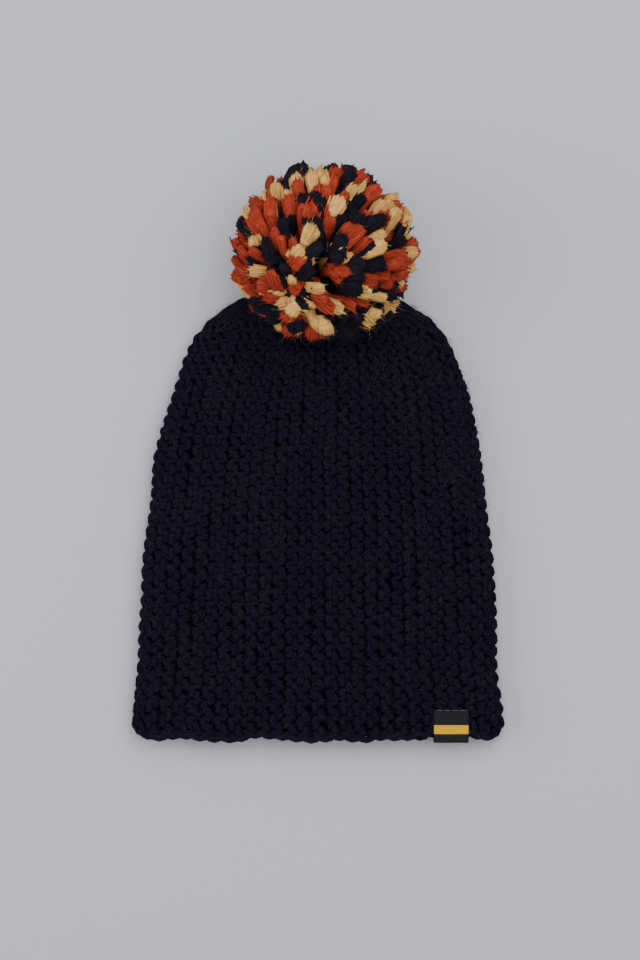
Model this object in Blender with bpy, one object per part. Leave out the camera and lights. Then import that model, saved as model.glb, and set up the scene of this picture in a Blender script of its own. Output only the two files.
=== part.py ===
"""A bobble hat lying flat: a garter-knit crown drawn together at its top, a pompom of three
yarns tied on through the gather, and a woven label folded over the hem.

Metres, +Z up. The hat lies on z = 0, its head opening towards -Y and its pompom towards +Y.
The origin is on the surface, under the middle of the crown's flat underside.
"""

import math
import random
from collections import namedtuple

import bpy
from mathutils import Matrix, Vector

# Crown. A chunky garter knit, whose ridges run from the hem to the gather.
HEM_WIDTH = 0.230
HEM_BOW = 0.0028
CROWN_LENGTH = 0.284
WALL = 0.0065
FOLD_HOLLOW_RADIUS = 0.0040
DOME = 0.0095
RIDGES = 56
RIDGE_RELIEF = 0.0010
SELVEDGE_BULGE = 0.0012
PUCKERS = 14
PUCKER_DEPTH = 0.0014
PRESSED_HEIGHT = 0.0040

# Shares of the way along the crown's length at which the pompom's seat starts, and the crown
# turns over to its top and is gathered.
SEAT_STARTS = 0.66
TURN_STARTS = 0.82
GATHER_STARTS = 0.86
GATHER_FULL = 0.94
BOW_ENDS = 0.30

# Tie. One plain cord through the gather, with a knot inside the hat and one in the pompom,
# TIE_REACH of the way to the pompom's middle.
TIE_RADIUS = 0.0022
KNOT_RADIUS = 0.0036
TIE_REACH = 0.5
KNOT_SPACE = 0.0010
KNOT_STEPS = 5
TIE_SIDES = 10
CLEARANCE = 0.0003
SEAT_GAP = 0.0010

# Pompom. Its radius is from its middle to the tips of its longest locks, and its depth the share
# of it that is left along Y, where the pompom is pressed against the crown. The radii of its head
# and of a lock are shares of its own.
POMPOM_RADIUS = 0.0600
HEAD_SHARE = 0.933
POMPOM_ABOVE_TOP = 0.0555
POMPOM_PAST_TOP = 0.0170
POMPOM_ASIDE = 0.0040
POMPOM_DEPTH = 0.93
LOCKS = 50
LOCK_SHARE = 0.23
LOCK_SIDES = 5
LOCK_ROOT = 0.62
LOCK_SWAY = 0.20
LOCK_SEED = 11

# Label. A woven strip over the hem, one leaf outside and one inside.
LABEL_WIDTH = 0.0215
LABEL_LEAF = 0.0200
LABEL_THICKNESS = 0.0007
LABEL_FROM_SIDE = 0.0322
LABEL_FOLD_STEPS = 6
LABEL_FOLD_DEPTH = 0.5

# Shares of the way round a section. The pressed underside has few points, the rest four a ridge.
UNDERSIDE_SHARE = 0.20
UNDERSIDE_STEPS = 9
POINTS_PER_RIDGE = 4
STATIONS_OUTSIDE = 18
STATIONS_INSIDE = 12
STATIONS_SEAT = 12
INSIDE_COUNT = 56
FLAT_STEPS = 240
FOLD_STEPS = 24

FOLD_RADIUS = WALL + FOLD_HOLLOW_RADIUS
GATHER_RADIUS = TIE_RADIUS + CLEARANCE
HEM_Y = -CROWN_LENGTH / 2
TOP_Y = CROWN_LENGTH / 2
LABEL_MIDDLE = HEM_WIDTH / 2 - LABEL_FROM_SIDE
POMPOM_HEAD_RADIUS = POMPOM_RADIUS * HEAD_SHARE
LOCK_RADIUS = POMPOM_RADIUS * LOCK_SHARE
POMPOM_MIDDLE = Vector((POMPOM_ASIDE, TOP_Y + POMPOM_PAST_TOP, POMPOM_ABOVE_TOP))

# Each row is a section of the crown, from hem to gather. at: share of the way along the knit.
# reach: share of CROWN_LENGTH. width: share of HEM_WIDTH. fold: share of FOLD_RADIUS.
# dome: share of DOME. tilt: degrees that it leans back. rise: middle height, in FOLD_RADIUS.
# aside: how far it lies towards +X, in FOLD_RADIUS.
Section = namedtuple("Section", "at reach width fold dome tilt rise aside")
SECTIONS = [
    Section(0.000, 0.000, 0.986, 1.00, 0.18, 0, 1.00, 0.00),
    Section(0.030, 0.030, 1.000, 1.00, 0.28, 0, 1.00, 0.00),
    Section(0.170, 0.175, 0.970, 1.00, 0.55, 0, 1.00, 0.00),
    Section(0.370, 0.385, 0.944, 1.00, 0.75, 0, 1.00, 0.00),
    Section(0.560, 0.585, 0.892, 1.00, 0.85, 0, 1.00, 0.03),
    Section(0.675, 0.705, 0.842, 1.00, 0.90, 0, 1.00, 0.11),
    Section(0.770, 0.805, 0.764, 1.00, 0.95, 0, 1.00, 0.19),
    Section(0.845, 0.880, 0.688, 1.00, 1.00, 2, 1.00, 0.20),
    Section(0.890, 0.922, 0.610, 1.02, 0.95, 8, 1.05, 0.23),
    Section(0.920, 0.943, 0.540, 1.04, 0.80, 17, 1.13, 0.24),
    Section(0.945, 0.956, 0.450, 1.04, 0.58, 29, 1.30, 0.22),
    Section(0.965, 0.964, 0.345, 1.00, 0.36, 40, 1.53, 0.15),
    Section(0.982, 0.968, 0.225, 0.86, 0.16, 48, 1.78, 0.08),
    Section(0.993, 0.970, 0.115, 0.64, 0.05, 53, 1.95, 0.03),
    Section(1.000, 0.970, 0.000, 0.00, 0.00, 55, 2.03, 0.00),
]

# Each row is a group of locks that grow alike. share: part of all locks. length: share of
# POMPOM_RADIUS. girth: share of LOCK_RADIUS.
LockKind = namedtuple("LockKind", "share length girth")
LOCK_KINDS = [
    LockKind(0.25, 1.00, 0.85),
    LockKind(0.45, 0.98, 1.00),
    LockKind(0.30, 0.96, 1.15),
]

# Each row is a ring of a lock. along: share from root to tip. girth: share of the lock's own.
LockRing = namedtuple("LockRing", "along girth")
LOCK_RINGS = [
    LockRing(0.00, 0.62),
    LockRing(0.60, 0.96),
    LockRing(0.87, 0.88),
    LockRing(1.00, 0.44),
]

CROWN_COLOUR = (0.0085, 0.0070, 0.0150)
POMPOM_COLOUR = (0.46, 0.058, 0.024)
TIE_COLOUR = (0.0085, 0.0070, 0.0150)
LABEL_COLOUR = (0.027, 0.024, 0.026)


def clear_scene():
    for old in list(bpy.data.objects):
        bpy.data.objects.remove(old, do_unlink=True)


def cloth_material(name, colour, roughness):
    material = bpy.data.materials.new(name)
    material.use_nodes = True
    shader = material.node_tree.nodes["Principled BSDF"]
    shader.inputs["Base Color"].default_value = (*colour, 1.0)
    shader.inputs["Roughness"].default_value = roughness
    shader.inputs["Metallic"].default_value = 0.0
    return material


def add_object(name, points, faces, material):
    mesh = bpy.data.meshes.new(name)
    mesh.from_pydata([tuple(p) for p in points], [], faces)
    mesh.validate()
    mesh.shade_smooth()
    mesh.set_sharp_from_angle(angle=math.radians(50))
    made = bpy.data.objects.new(name, mesh)
    made.data.materials.append(material)
    bpy.context.scene.collection.objects.link(made)
    return made


def eased(rows, column, at):
    """The column's value at a share of the way along, on a curve that never overshoots the rows."""
    spans = [
        (getattr(b, column) - getattr(a, column)) / (b.at - a.at)
        for a, b in zip(rows, rows[1:])
    ]
    slopes = [spans[0]]
    for before, after in zip(spans, spans[1:]):
        both = before + after
        slopes.append(2 * before * after / both if before * after > 0 else 0.0)
    slopes.append(spans[-1])
    i = max(0, min(len(rows) - 2, sum(row.at <= at for row in rows) - 1))
    width = rows[i + 1].at - rows[i].at
    t = (at - rows[i].at) / width
    start, end = getattr(rows[i], column), getattr(rows[i + 1], column)
    return (
        (1 + 2 * t) * (1 - t) ** 2 * start
        + t * (1 - t) ** 2 * width * slopes[i]
        + t * t * (3 - 2 * t) * end
        + t * t * (t - 1) * width * slopes[i + 1]
    )


def section_sizes(at):
    """Half width, fold radius, dome, lean and middle of the section there, in metres and radians."""
    fold = max(GATHER_RADIUS, eased(SECTIONS, "fold", at) * FOLD_RADIUS)
    half_width = max(fold, eased(SECTIONS, "width", at) * HEM_WIDTH / 2)
    dome = eased(SECTIONS, "dome", at) * DOME
    lean = math.radians(eased(SECTIONS, "tilt", at))
    middle_y = HEM_Y + eased(SECTIONS, "reach", at) * CROWN_LENGTH
    middle_z = eased(SECTIONS, "rise", at) * FOLD_RADIUS
    return half_width, fold, dome, lean, middle_y, middle_z


def bow(x, half_width, at):
    """How far the hem hangs behind its middle at x, fading out along the crown."""
    fade = max(0.0, 1 - at / BOW_ENDS) ** 2
    return HEM_BOW * min(1.0, (x / half_width) ** 2) * fade


def section_outline(at):
    """Points round a section: a flat underside, two round folds and a domed upper side."""
    half_width, fold, dome, lean, middle_y, middle_z = section_sizes(at)
    flat = half_width - fold
    corners = []
    for i in range(FLAT_STEPS):
        corners.append((-flat + 2 * flat * i / FLAT_STEPS, -fold))
    for i in range(FOLD_STEPS):
        turn = math.pi * i / FOLD_STEPS - math.pi / 2
        corners.append((flat + fold * math.cos(turn), fold * math.sin(turn)))
    for i in range(FLAT_STEPS):
        share = 1 - 2 * i / FLAT_STEPS
        raised = dome * (1 + math.cos(math.pi * share)) / 2
        corners.append((flat * share, fold + raised))
    for i in range(FOLD_STEPS):
        turn = math.pi * i / FOLD_STEPS + math.pi / 2
        corners.append((-flat + fold * math.cos(turn), fold * math.sin(turn)))
    back, up = math.sin(lean), math.cos(lean)
    aside = eased(SECTIONS, "aside", at) * FOLD_RADIUS
    return [
        Vector((
            x + aside,
            middle_y + bow(x, half_width, at) - height * back,
            max(0.0, middle_z + height * up),
        ))
        for x, height in corners
    ]


def points_at(outline, shares):
    """Points at shares of a closed outline's length, from the middle of its underside."""
    start = FLAT_STEPS // 2
    ring = outline[start:] + outline[: start + 1]
    lengths = [0.0]
    for a, b in zip(ring, ring[1:]):
        lengths.append(lengths[-1] + (b - a).length)
    made, i = [], 0
    for share in shares:
        wanted = lengths[-1] * share
        while lengths[i + 1] < wanted:
            i += 1
        span = max(lengths[i + 1] - lengths[i], 1e-12)
        made.append(ring[i].lerp(ring[i + 1], (wanted - lengths[i]) / span))
    return made


def even_shares(count):
    return [k / count for k in range(count)]


def ridge_shares():
    """Shares round a section with few points underneath and POINTS_PER_RIDGE a ridge elsewhere."""
    below = [UNDERSIDE_SHARE * i / UNDERSIDE_STEPS for i in range(UNDERSIDE_STEPS)]
    step = 1 / (RIDGES * POINTS_PER_RIDGE)
    above_count = 2 * round((0.5 - UNDERSIDE_SHARE) / step)
    above = [
        UNDERSIDE_SHARE + (1 - 2 * UNDERSIDE_SHARE) * i / above_count
        for i in range(above_count)
    ]
    return below + above + [1 - share for share in reversed(below[1:] + [UNDERSIDE_SHARE])]


def spaced_stations(count, start=0.0):
    """Stations from start to the gather, closer together where the crown turns over."""
    straight = round(count * 0.45) if start < TURN_STARTS else 0
    body = [start + (TURN_STARTS - start) * i / straight for i in range(straight)]
    turn = max(start, TURN_STARTS)
    top = count - straight - 1
    return body + [turn + (1 - turn) * i / top for i in range(top + 1)]


class Surface:
    """The crown's smooth outer surface as rings of points, with the way out at each point."""

    def __init__(self, stations, shares):
        self.at = stations
        self.shares = shares
        self.count = len(shares)
        self.rings = [points_at(section_outline(at), shares) for at in stations]

    def way_out(self, i, k):
        if self.at[i] == 1.0:
            return tie_line()[1]
        before, after = max(i - 1, 0), min(i + 1, len(self.rings) - 1)
        along = self.rings[after][k] - self.rings[before][k]
        around = self.rings[i][(k + 1) % self.count] - self.rings[i][k - 1]
        return along.cross(around).normalized()

    def point(self, i, k, height):
        return self.rings[i][k] + height * self.way_out(i, k)

    def relief(self, i, k):
        """How far the knit stands out here: ridges, which turn into puckers near the gather."""
        at, share = self.at[i], self.shares[k]
        pressed = min(1.0, self.rings[i][k].z / PRESSED_HEIGHT)
        gathered = (at - GATHER_STARTS) / (GATHER_FULL - GATHER_STARTS)
        gathered = max(0.0, min(1.0, gathered))
        closing = max(0.0, min(1.0, (1 - at) / (1 - GATHER_FULL)))
        ridge = RIDGE_RELIEF * math.cos(2 * math.pi * RIDGES * share) * (1 - gathered)
        pucker = PUCKER_DEPTH * math.cos(2 * math.pi * PUCKERS * share) * gathered
        return (ridge + pucker) * pressed * closing


def ring_faces(first, second, count):
    """Quads from one ring to the next of the same count, facing out on a walk from hem to top."""
    return [
        (first + k, second + k, second + (k + 1) % count, first + (k + 1) % count)
        for k in range(count)
    ]


def joined_faces(first, first_shares, second, second_shares):
    """Triangles from one ring to another with its own shares, facing as ring_faces does."""
    faces = []
    i, j = 0, 0
    first_count, second_count = len(first_shares), len(second_shares)
    first_ends = first_shares[1:] + [1.0]
    second_ends = second_shares[1:] + [1.0]
    while i < first_count or j < second_count:
        a = first + i % first_count
        b = second + j % second_count
        if j == second_count or (i < first_count and first_ends[i] <= second_ends[j]):
            i += 1
            faces.append((a, b, first + i % first_count))
        else:
            j += 1
            faces.append((a, b, second + j % second_count))
    return faces


def build_crown(material):
    """One hollow wall: outside with ridges, inside plain, open at the hem and round the tie."""
    fine, coarse = ridge_shares(), even_shares(INSIDE_COUNT)
    outside = Surface(spaced_stations(STATIONS_OUTSIDE), fine)
    inside = Surface(spaced_stations(STATIONS_INSIDE), coarse)
    count = outside.count
    points, faces = [], []
    for i in range(STATIONS_OUTSIDE):
        points += [outside.point(i, k, outside.relief(i, k)) for k in range(count)]
    for i in range(STATIONS_OUTSIDE - 1):
        faces += ring_faces(i * count, (i + 1) * count, count)
    inner_start = len(points)
    for i in range(STATIONS_INSIDE):
        points += [inside.point(i, k, -WALL) for k in range(INSIDE_COUNT)]
    for i in range(STATIONS_INSIDE - 1):
        ring = inner_start + i * INSIDE_COUNT
        faces += ring_faces(ring + INSIDE_COUNT, ring, INSIDE_COUNT)
    selvedge = len(points)
    for k in range(INSIDE_COUNT):
        points.append(inside.point(0, k, -WALL / 2) - Vector((0, SELVEDGE_BULGE, 0)))
    faces += joined_faces(selvedge, coarse, 0, fine)
    faces += ring_faces(inner_start, selvedge, INSIDE_COUNT)
    last_outer = (STATIONS_OUTSIDE - 1) * count
    last_inner = inner_start + (STATIONS_INSIDE - 1) * INSIDE_COUNT
    faces += joined_faces(last_outer, fine, last_inner, coarse)
    return add_object("crown", points, faces, material)


def tie_line():
    """Where the tie passes the gather, and its way from there towards the pompom's middle."""
    _, _, _, lean, middle_y, middle_z = section_sizes(1.0)
    passes = Vector((0, middle_y, middle_z))
    return passes, Vector((0, math.cos(lean), math.sin(lean)))


def turned_body(name, profile, base, way, sides, material):
    """A closed body turned round a line. profile: (distance along it, radius) pairs, ends at 0."""
    across = way.orthogonal().normalized()
    other = way.cross(across)
    points = [base + way * profile[0][0]]
    faces = []
    for along, radius in profile[1:-1]:
        for k in range(sides):
            turn = 2 * math.pi * k / sides
            spoke = across * math.cos(turn) + other * math.sin(turn)
            points.append(base + way * along + spoke * radius)
    points.append(base + way * profile[-1][0])
    rings = len(profile) - 2
    for k in range(sides):
        after = (k + 1) % sides
        faces.append((0, 1 + after, 1 + k))
        last = 1 + (rings - 1) * sides
        faces.append((last + k, last + after, len(points) - 1))
        for ring in range(rings - 1):
            first = 1 + ring * sides
            second = first + sides
            faces.append((first + k, first + after, second + after, second + k))
    return add_object(name, points, faces, material)


def tie_profile(grow, knot_grow):
    """The cord with a round knot at each end, as a profile about its line through the gather."""
    inner_knot = -(WALL + KNOT_SPACE / 2 + KNOT_RADIUS)
    to_middle = (POMPOM_MIDDLE - tie_line()[0]).length
    outer_knot = KNOT_SPACE + KNOT_RADIUS + to_middle * TIE_REACH
    cord, knot = TIE_RADIUS + grow, KNOT_RADIUS + knot_grow
    reach = math.sqrt(knot ** 2 - cord ** 2)
    profile = []
    for i in range(KNOT_STEPS + 1):
        turn = math.pi - (math.pi - math.atan2(cord, reach)) * i / KNOT_STEPS
        profile.append((inner_knot + knot * math.cos(turn), knot * math.sin(turn)))
    for i in range(KNOT_STEPS + 1):
        turn = (math.pi - math.atan2(cord, reach)) * (1 - i / KNOT_STEPS)
        profile.append((outer_knot + knot * math.cos(turn), knot * math.sin(turn)))
    return profile


def build_tie(material):
    passes, way = tie_line()
    return turned_body("pompom_tie", tie_profile(0, 0), passes, way, TIE_SIDES, material)


def lock_points(way, length, girth, sway, dice):
    """Rings of points of one lock, bent to one side, from its root in the head to its tip."""
    pressed = Matrix.Diagonal((1, POMPOM_DEPTH, 1))
    across = way.orthogonal().normalized()
    across.rotate(Matrix.Rotation(dice.uniform(0, math.tau), 3, way))
    other = way.cross(across)
    points = []
    for ring in LOCK_RINGS:
        reach = length * (LOCK_ROOT + (1 - LOCK_ROOT) * ring.along)
        middle = way * reach + across * sway * ring.along ** 2
        for k in range(LOCK_SIDES):
            turn = math.tau * k / LOCK_SIDES
            spoke = across * math.cos(turn) + other * math.sin(turn)
            points.append(POMPOM_MIDDLE + pressed @ (middle + spoke * girth * ring.girth))
    return points


def lock_faces(start):
    """The closed skin of one lock whose points start at this number."""
    last = start + (len(LOCK_RINGS) - 1) * LOCK_SIDES
    faces = [tuple(start + k for k in reversed(range(LOCK_SIDES)))]
    faces.append(tuple(last + k for k in range(LOCK_SIDES)))
    for ring in range(len(LOCK_RINGS) - 1):
        first = start + ring * LOCK_SIDES
        for k in range(LOCK_SIDES):
            after = (k + 1) % LOCK_SIDES
            second = first + LOCK_SIDES
            faces.append((first + k, first + after, second + after, second + k))
    return faces


def lock_ways():
    """Ways out of the pompom's middle, spread evenly over the ball."""
    golden = math.pi * (3 - math.sqrt(5))
    for i in range(LOCKS):
        height = 1 - 2 * (i + 0.5) / LOCKS
        rim = math.sqrt(1 - height * height)
        yield Vector((rim * math.cos(golden * i), rim * math.sin(golden * i), height))


def pick_kind(dice):
    """One of LOCK_KINDS, as often as its share says."""
    throw, total = dice.random(), 0.0
    for kind in LOCK_KINDS:
        total += kind.share
        if throw < total:
            return kind
    return LOCK_KINDS[-1]


def add_cutter(name, points, faces):
    mesh = bpy.data.meshes.new(name)
    mesh.from_pydata([tuple(p) for p in points], [], faces)
    made = bpy.data.objects.new(name, mesh)
    bpy.context.scene.collection.objects.link(made)
    return as_cutter(made)


def as_cutter(made):
    made.hide_render = True
    made.display_type = "WIRE"
    return made


def use_cutter(body, cutter, operation, crossing=False):
    """Cuts the body with the cutter or joins the cutter to it."""
    step = body.modifiers.new(cutter.name, "BOOLEAN")
    step.operation = operation
    step.object = cutter
    step.solver = "EXACT"
    step.use_self = crossing


def crown_seat():
    """The crown's end grown by the gap, which the pompom sits on, closed at both ends."""
    shares = even_shares(INSIDE_COUNT)
    seat = Surface(spaced_stations(STATIONS_SEAT, SEAT_STARTS), shares)
    grow = PUCKER_DEPTH + SEAT_GAP
    points, faces = [], []
    for i in range(STATIONS_SEAT):
        points += [seat.point(i, k, grow) for k in range(seat.count)]
    for i in range(STATIONS_SEAT - 1):
        faces += ring_faces(i * seat.count, (i + 1) * seat.count, seat.count)
    last = (STATIONS_SEAT - 1) * seat.count
    faces.append(tuple(range(seat.count)))
    faces.append(tuple(last + k for k in reversed(range(seat.count))))
    return add_cutter("crown_seat", points, faces)


def floor_block():
    """What lies below the surface that the hat rests on, round the pompom."""
    bpy.ops.mesh.primitive_cube_add(
        size=4 * POMPOM_RADIUS,
        location=(POMPOM_MIDDLE.x, POMPOM_MIDDLE.y, -2 * POMPOM_RADIUS),
    )
    block = bpy.context.active_object
    block.name = "floor_block"
    return as_cutter(block)


def build_pompom(material):
    """A head with locks fused to it, flat where it rests, seated on the crown and the tie."""
    dice = random.Random(LOCK_SEED)
    points, faces = [], []
    for way in lock_ways():
        kind = pick_kind(dice)
        length = POMPOM_RADIUS * kind.length
        sway = POMPOM_RADIUS * LOCK_SWAY * dice.random()
        faces += lock_faces(len(points))
        points += lock_points(way, length, LOCK_RADIUS * kind.girth, sway, dice)
    locks = add_cutter("locks", points, faces)
    bpy.ops.mesh.primitive_ico_sphere_add(
        subdivisions=2, radius=POMPOM_HEAD_RADIUS, location=POMPOM_MIDDLE
    )
    pompom = bpy.context.active_object
    pompom.name = "pompom"
    pompom.data.transform(Matrix.Diagonal((1, POMPOM_DEPTH, 1, 1)))
    pompom.data.materials.append(material)
    passes, way = tie_line()
    socket = turned_body(
        "tie_socket", tie_profile(CLEARANCE, KNOT_SPACE), passes, way, TIE_SIDES, material
    )
    use_cutter(pompom, locks, "UNION", crossing=True)
    use_cutter(pompom, crown_seat(), "DIFFERENCE")
    use_cutter(pompom, floor_block(), "DIFFERENCE")
    use_cutter(pompom, as_cutter(socket), "DIFFERENCE")
    return pompom


def build_label(material):
    """A strip folded over the hem's upper wall: a leaf outside, a fold and a leaf inside."""
    half_width, fold, _, _, _, _ = section_sizes(0.0)
    flat = half_width - fold
    share = (LABEL_MIDDLE - LABEL_WIDTH / 2) / flat
    raised = DOME * eased(SECTIONS, "dome", LABEL_LEAF / CROWN_LENGTH) * (
        1 + math.cos(math.pi * share)
    ) / 2
    top = 2 * fold + raised + RIDGE_RELIEF + CLEARANCE
    bottom = 2 * fold - WALL - CLEARANCE
    edge = HEM_Y + bow(LABEL_MIDDLE, half_width, 0.0) - SELVEDGE_BULGE - CLEARANCE
    turn_radius = (top - bottom) / 2
    turn_y = edge - LABEL_THICKNESS + turn_radius * LABEL_FOLD_DEPTH
    leaf_end = HEM_Y + LABEL_LEAF

    def side(radius):
        walk = [(leaf_end, top + radius - turn_radius)]
        for i in range(LABEL_FOLD_STEPS + 1):
            turn = math.pi / 2 + math.pi * i / LABEL_FOLD_STEPS
            walk.append((
                turn_y + radius * LABEL_FOLD_DEPTH * math.cos(turn),
                (top + bottom) / 2 + radius * math.sin(turn),
            ))
        walk.append((leaf_end, bottom + turn_radius - radius))
        return walk

    outline = side(turn_radius + LABEL_THICKNESS) + side(turn_radius)[::-1]
    count = len(outline)
    points = []
    for x in (LABEL_MIDDLE - LABEL_WIDTH / 2, LABEL_MIDDLE + LABEL_WIDTH / 2):
        points += [Vector((x, y, z)) for y, z in outline]
    half = count // 2
    faces = ring_faces(count, 0, count)
    for i in range(half - 1):
        a, b, c, d = i, i + 1, count - 2 - i, count - 1 - i
        faces.append((d, c, b, a))
        faces.append((count + a, count + b, count + c, count + d))
    return add_object("label", points, faces, material)


clear_scene()
knit = cloth_material("knit", CROWN_COLOUR, 0.95)
build_crown(knit)
build_pompom(cloth_material("pompom yarn", POMPOM_COLOUR, 0.92))
build_tie(cloth_material("tie cord", TIE_COLOUR, 0.9))
build_label(cloth_material("woven label", LABEL_COLOUR, 0.6))
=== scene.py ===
"""The looks of a bobble hat that lies flat: garter-knit yarn, a pompom of three yarns, its tie
and a woven label, on a plain pale floor under soft studio light.

Metres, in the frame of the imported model: the hem towards -Y, the pompom towards +Y, Z up.
"""

import math
from collections import namedtuple

import bpy
import numpy as np
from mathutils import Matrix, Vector
from mathutils.bvhtree import BVHTree


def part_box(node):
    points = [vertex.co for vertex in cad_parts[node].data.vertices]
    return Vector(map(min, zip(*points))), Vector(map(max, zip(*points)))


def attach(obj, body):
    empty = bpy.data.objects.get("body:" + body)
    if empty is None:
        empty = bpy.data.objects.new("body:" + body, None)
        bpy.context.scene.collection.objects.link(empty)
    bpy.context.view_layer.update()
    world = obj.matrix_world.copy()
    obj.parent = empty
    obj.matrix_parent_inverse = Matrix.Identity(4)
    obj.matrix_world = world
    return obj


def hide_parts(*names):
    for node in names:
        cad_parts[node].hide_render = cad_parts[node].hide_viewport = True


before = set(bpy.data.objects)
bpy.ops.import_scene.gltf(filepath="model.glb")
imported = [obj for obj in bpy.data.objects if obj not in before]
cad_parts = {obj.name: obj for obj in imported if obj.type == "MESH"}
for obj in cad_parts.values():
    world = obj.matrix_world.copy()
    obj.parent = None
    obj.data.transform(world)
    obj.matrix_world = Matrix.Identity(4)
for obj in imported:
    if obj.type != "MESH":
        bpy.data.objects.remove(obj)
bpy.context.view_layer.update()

bl_info = {
    "name": "Bobble hat looks",
    "version": (1, 0, 0),
    "blender": (4, 5, 0),
    "location": "3D View > Sidebar > Bobble hat",
    "description": "Knits the crown, ties the pompom, sews the label and sets the stage",
    "category": "Object",
}

# The crown's sections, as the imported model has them. at: share of the way from hem to gather.
# reach: share of the crown's length. width: share of the hem's. fold: share of the fold radius.
# dome: share of the dome. tilt: degrees it leans back. rise: middle height, in fold radii.
# aside: how far it lies towards +X, in fold radii.
Section = namedtuple("Section", "at reach width fold dome tilt rise aside")
SECTIONS = [
    Section(0.000, 0.000, 0.986, 1.00, 0.18, 0, 1.00, 0.00),
    Section(0.030, 0.030, 1.000, 1.00, 0.28, 0, 1.00, 0.00),
    Section(0.170, 0.175, 0.970, 1.00, 0.55, 0, 1.00, 0.00),
    Section(0.370, 0.385, 0.944, 1.00, 0.75, 0, 1.00, 0.00),
    Section(0.560, 0.585, 0.892, 1.00, 0.85, 0, 1.00, 0.03),
    Section(0.675, 0.705, 0.842, 1.00, 0.90, 0, 1.00, 0.11),
    Section(0.770, 0.805, 0.764, 1.00, 0.95, 0, 1.00, 0.19),
    Section(0.845, 0.880, 0.688, 1.00, 1.00, 2, 1.00, 0.20),
    Section(0.890, 0.922, 0.610, 1.02, 0.95, 8, 1.05, 0.23),
    Section(0.920, 0.943, 0.540, 1.04, 0.80, 17, 1.13, 0.24),
    Section(0.945, 0.956, 0.450, 1.04, 0.58, 29, 1.30, 0.22),
    Section(0.965, 0.964, 0.345, 1.00, 0.36, 40, 1.53, 0.15),
    Section(0.982, 0.968, 0.225, 0.86, 0.16, 48, 1.78, 0.08),
    Section(0.993, 0.970, 0.115, 0.64, 0.05, 53, 1.95, 0.03),
    Section(1.000, 0.970, 0.000, 0.00, 0.00, 55, 2.03, 0.00),
]
HEM_WIDTH = 0.230
# The knit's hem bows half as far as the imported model's.
HEM_BOW = 0.0014
BOW_ENDS = 0.30
CROWN_LENGTH = 0.284
WALL = 0.0065
FOLD_RADIUS = 0.0105
DOME = 0.0095
GATHER_RADIUS = 0.0025
GATHER_STARTS = 0.86
GATHER_FULL = 0.94
PUCKERS = 14
PUCKER_DEPTH = 0.0014
RIDGES = 56

# The photo's frame: its pixels a metre at the height of the folds, how many pixels high it is,
# and what lies at its middle.
PIXELS_PER_METRE = 1600
PHOTO_HEIGHT_PIXELS = 960
PHOTO_MIDDLE = Vector((0.00125, 0.0206, 0.0115))


def unit(vectors):
    """Vectors along the last axis, brought to a length of 1."""
    return vectors / np.maximum(np.linalg.norm(vectors, axis=-1, keepdims=True), 1e-12)


def column(rows, name):
    """A named column of a table, as an array."""
    return np.array([getattr(row, name) for row in rows], float)


def walked_along(points):
    """How far each point of a path is from its first, measured along the path."""
    steps = np.linalg.norm(np.diff(points, axis=0), axis=1)
    return np.concatenate(([0], np.cumsum(steps)))


def share_within(value, low, high):
    """How far a value has come from low to high, kept within 0 to 1."""
    return np.clip((value - low) / (high - low), 0, 1)


def eased(name, at):
    """A column of SECTIONS at shares of the way along, on curves that never overshoot."""
    rows_at = column(SECTIONS, "at")
    value = column(SECTIONS, name)
    width = np.diff(rows_at)
    spans = np.diff(value) / width
    both = spans[:-1] + spans[1:]
    same = spans[:-1] * spans[1:] > 0
    inner = np.where(same, 2 * spans[:-1] * spans[1:] / np.where(same, both, 1), 0)
    slopes = np.concatenate(([spans[0]], inner, [spans[-1]]))
    i = np.clip(np.searchsorted(rows_at, at, side="right") - 1, 0, len(width) - 1)
    t = (at - rows_at[i]) / width[i]
    return (
        (1 + 2 * t) * (1 - t) ** 2 * value[i]
        + t * (1 - t) ** 2 * width[i] * slopes[i]
        + t * t * (3 - 2 * t) * value[i + 1]
        + t * t * (t - 1) * width[i] * slopes[i + 1]
    )


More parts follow.
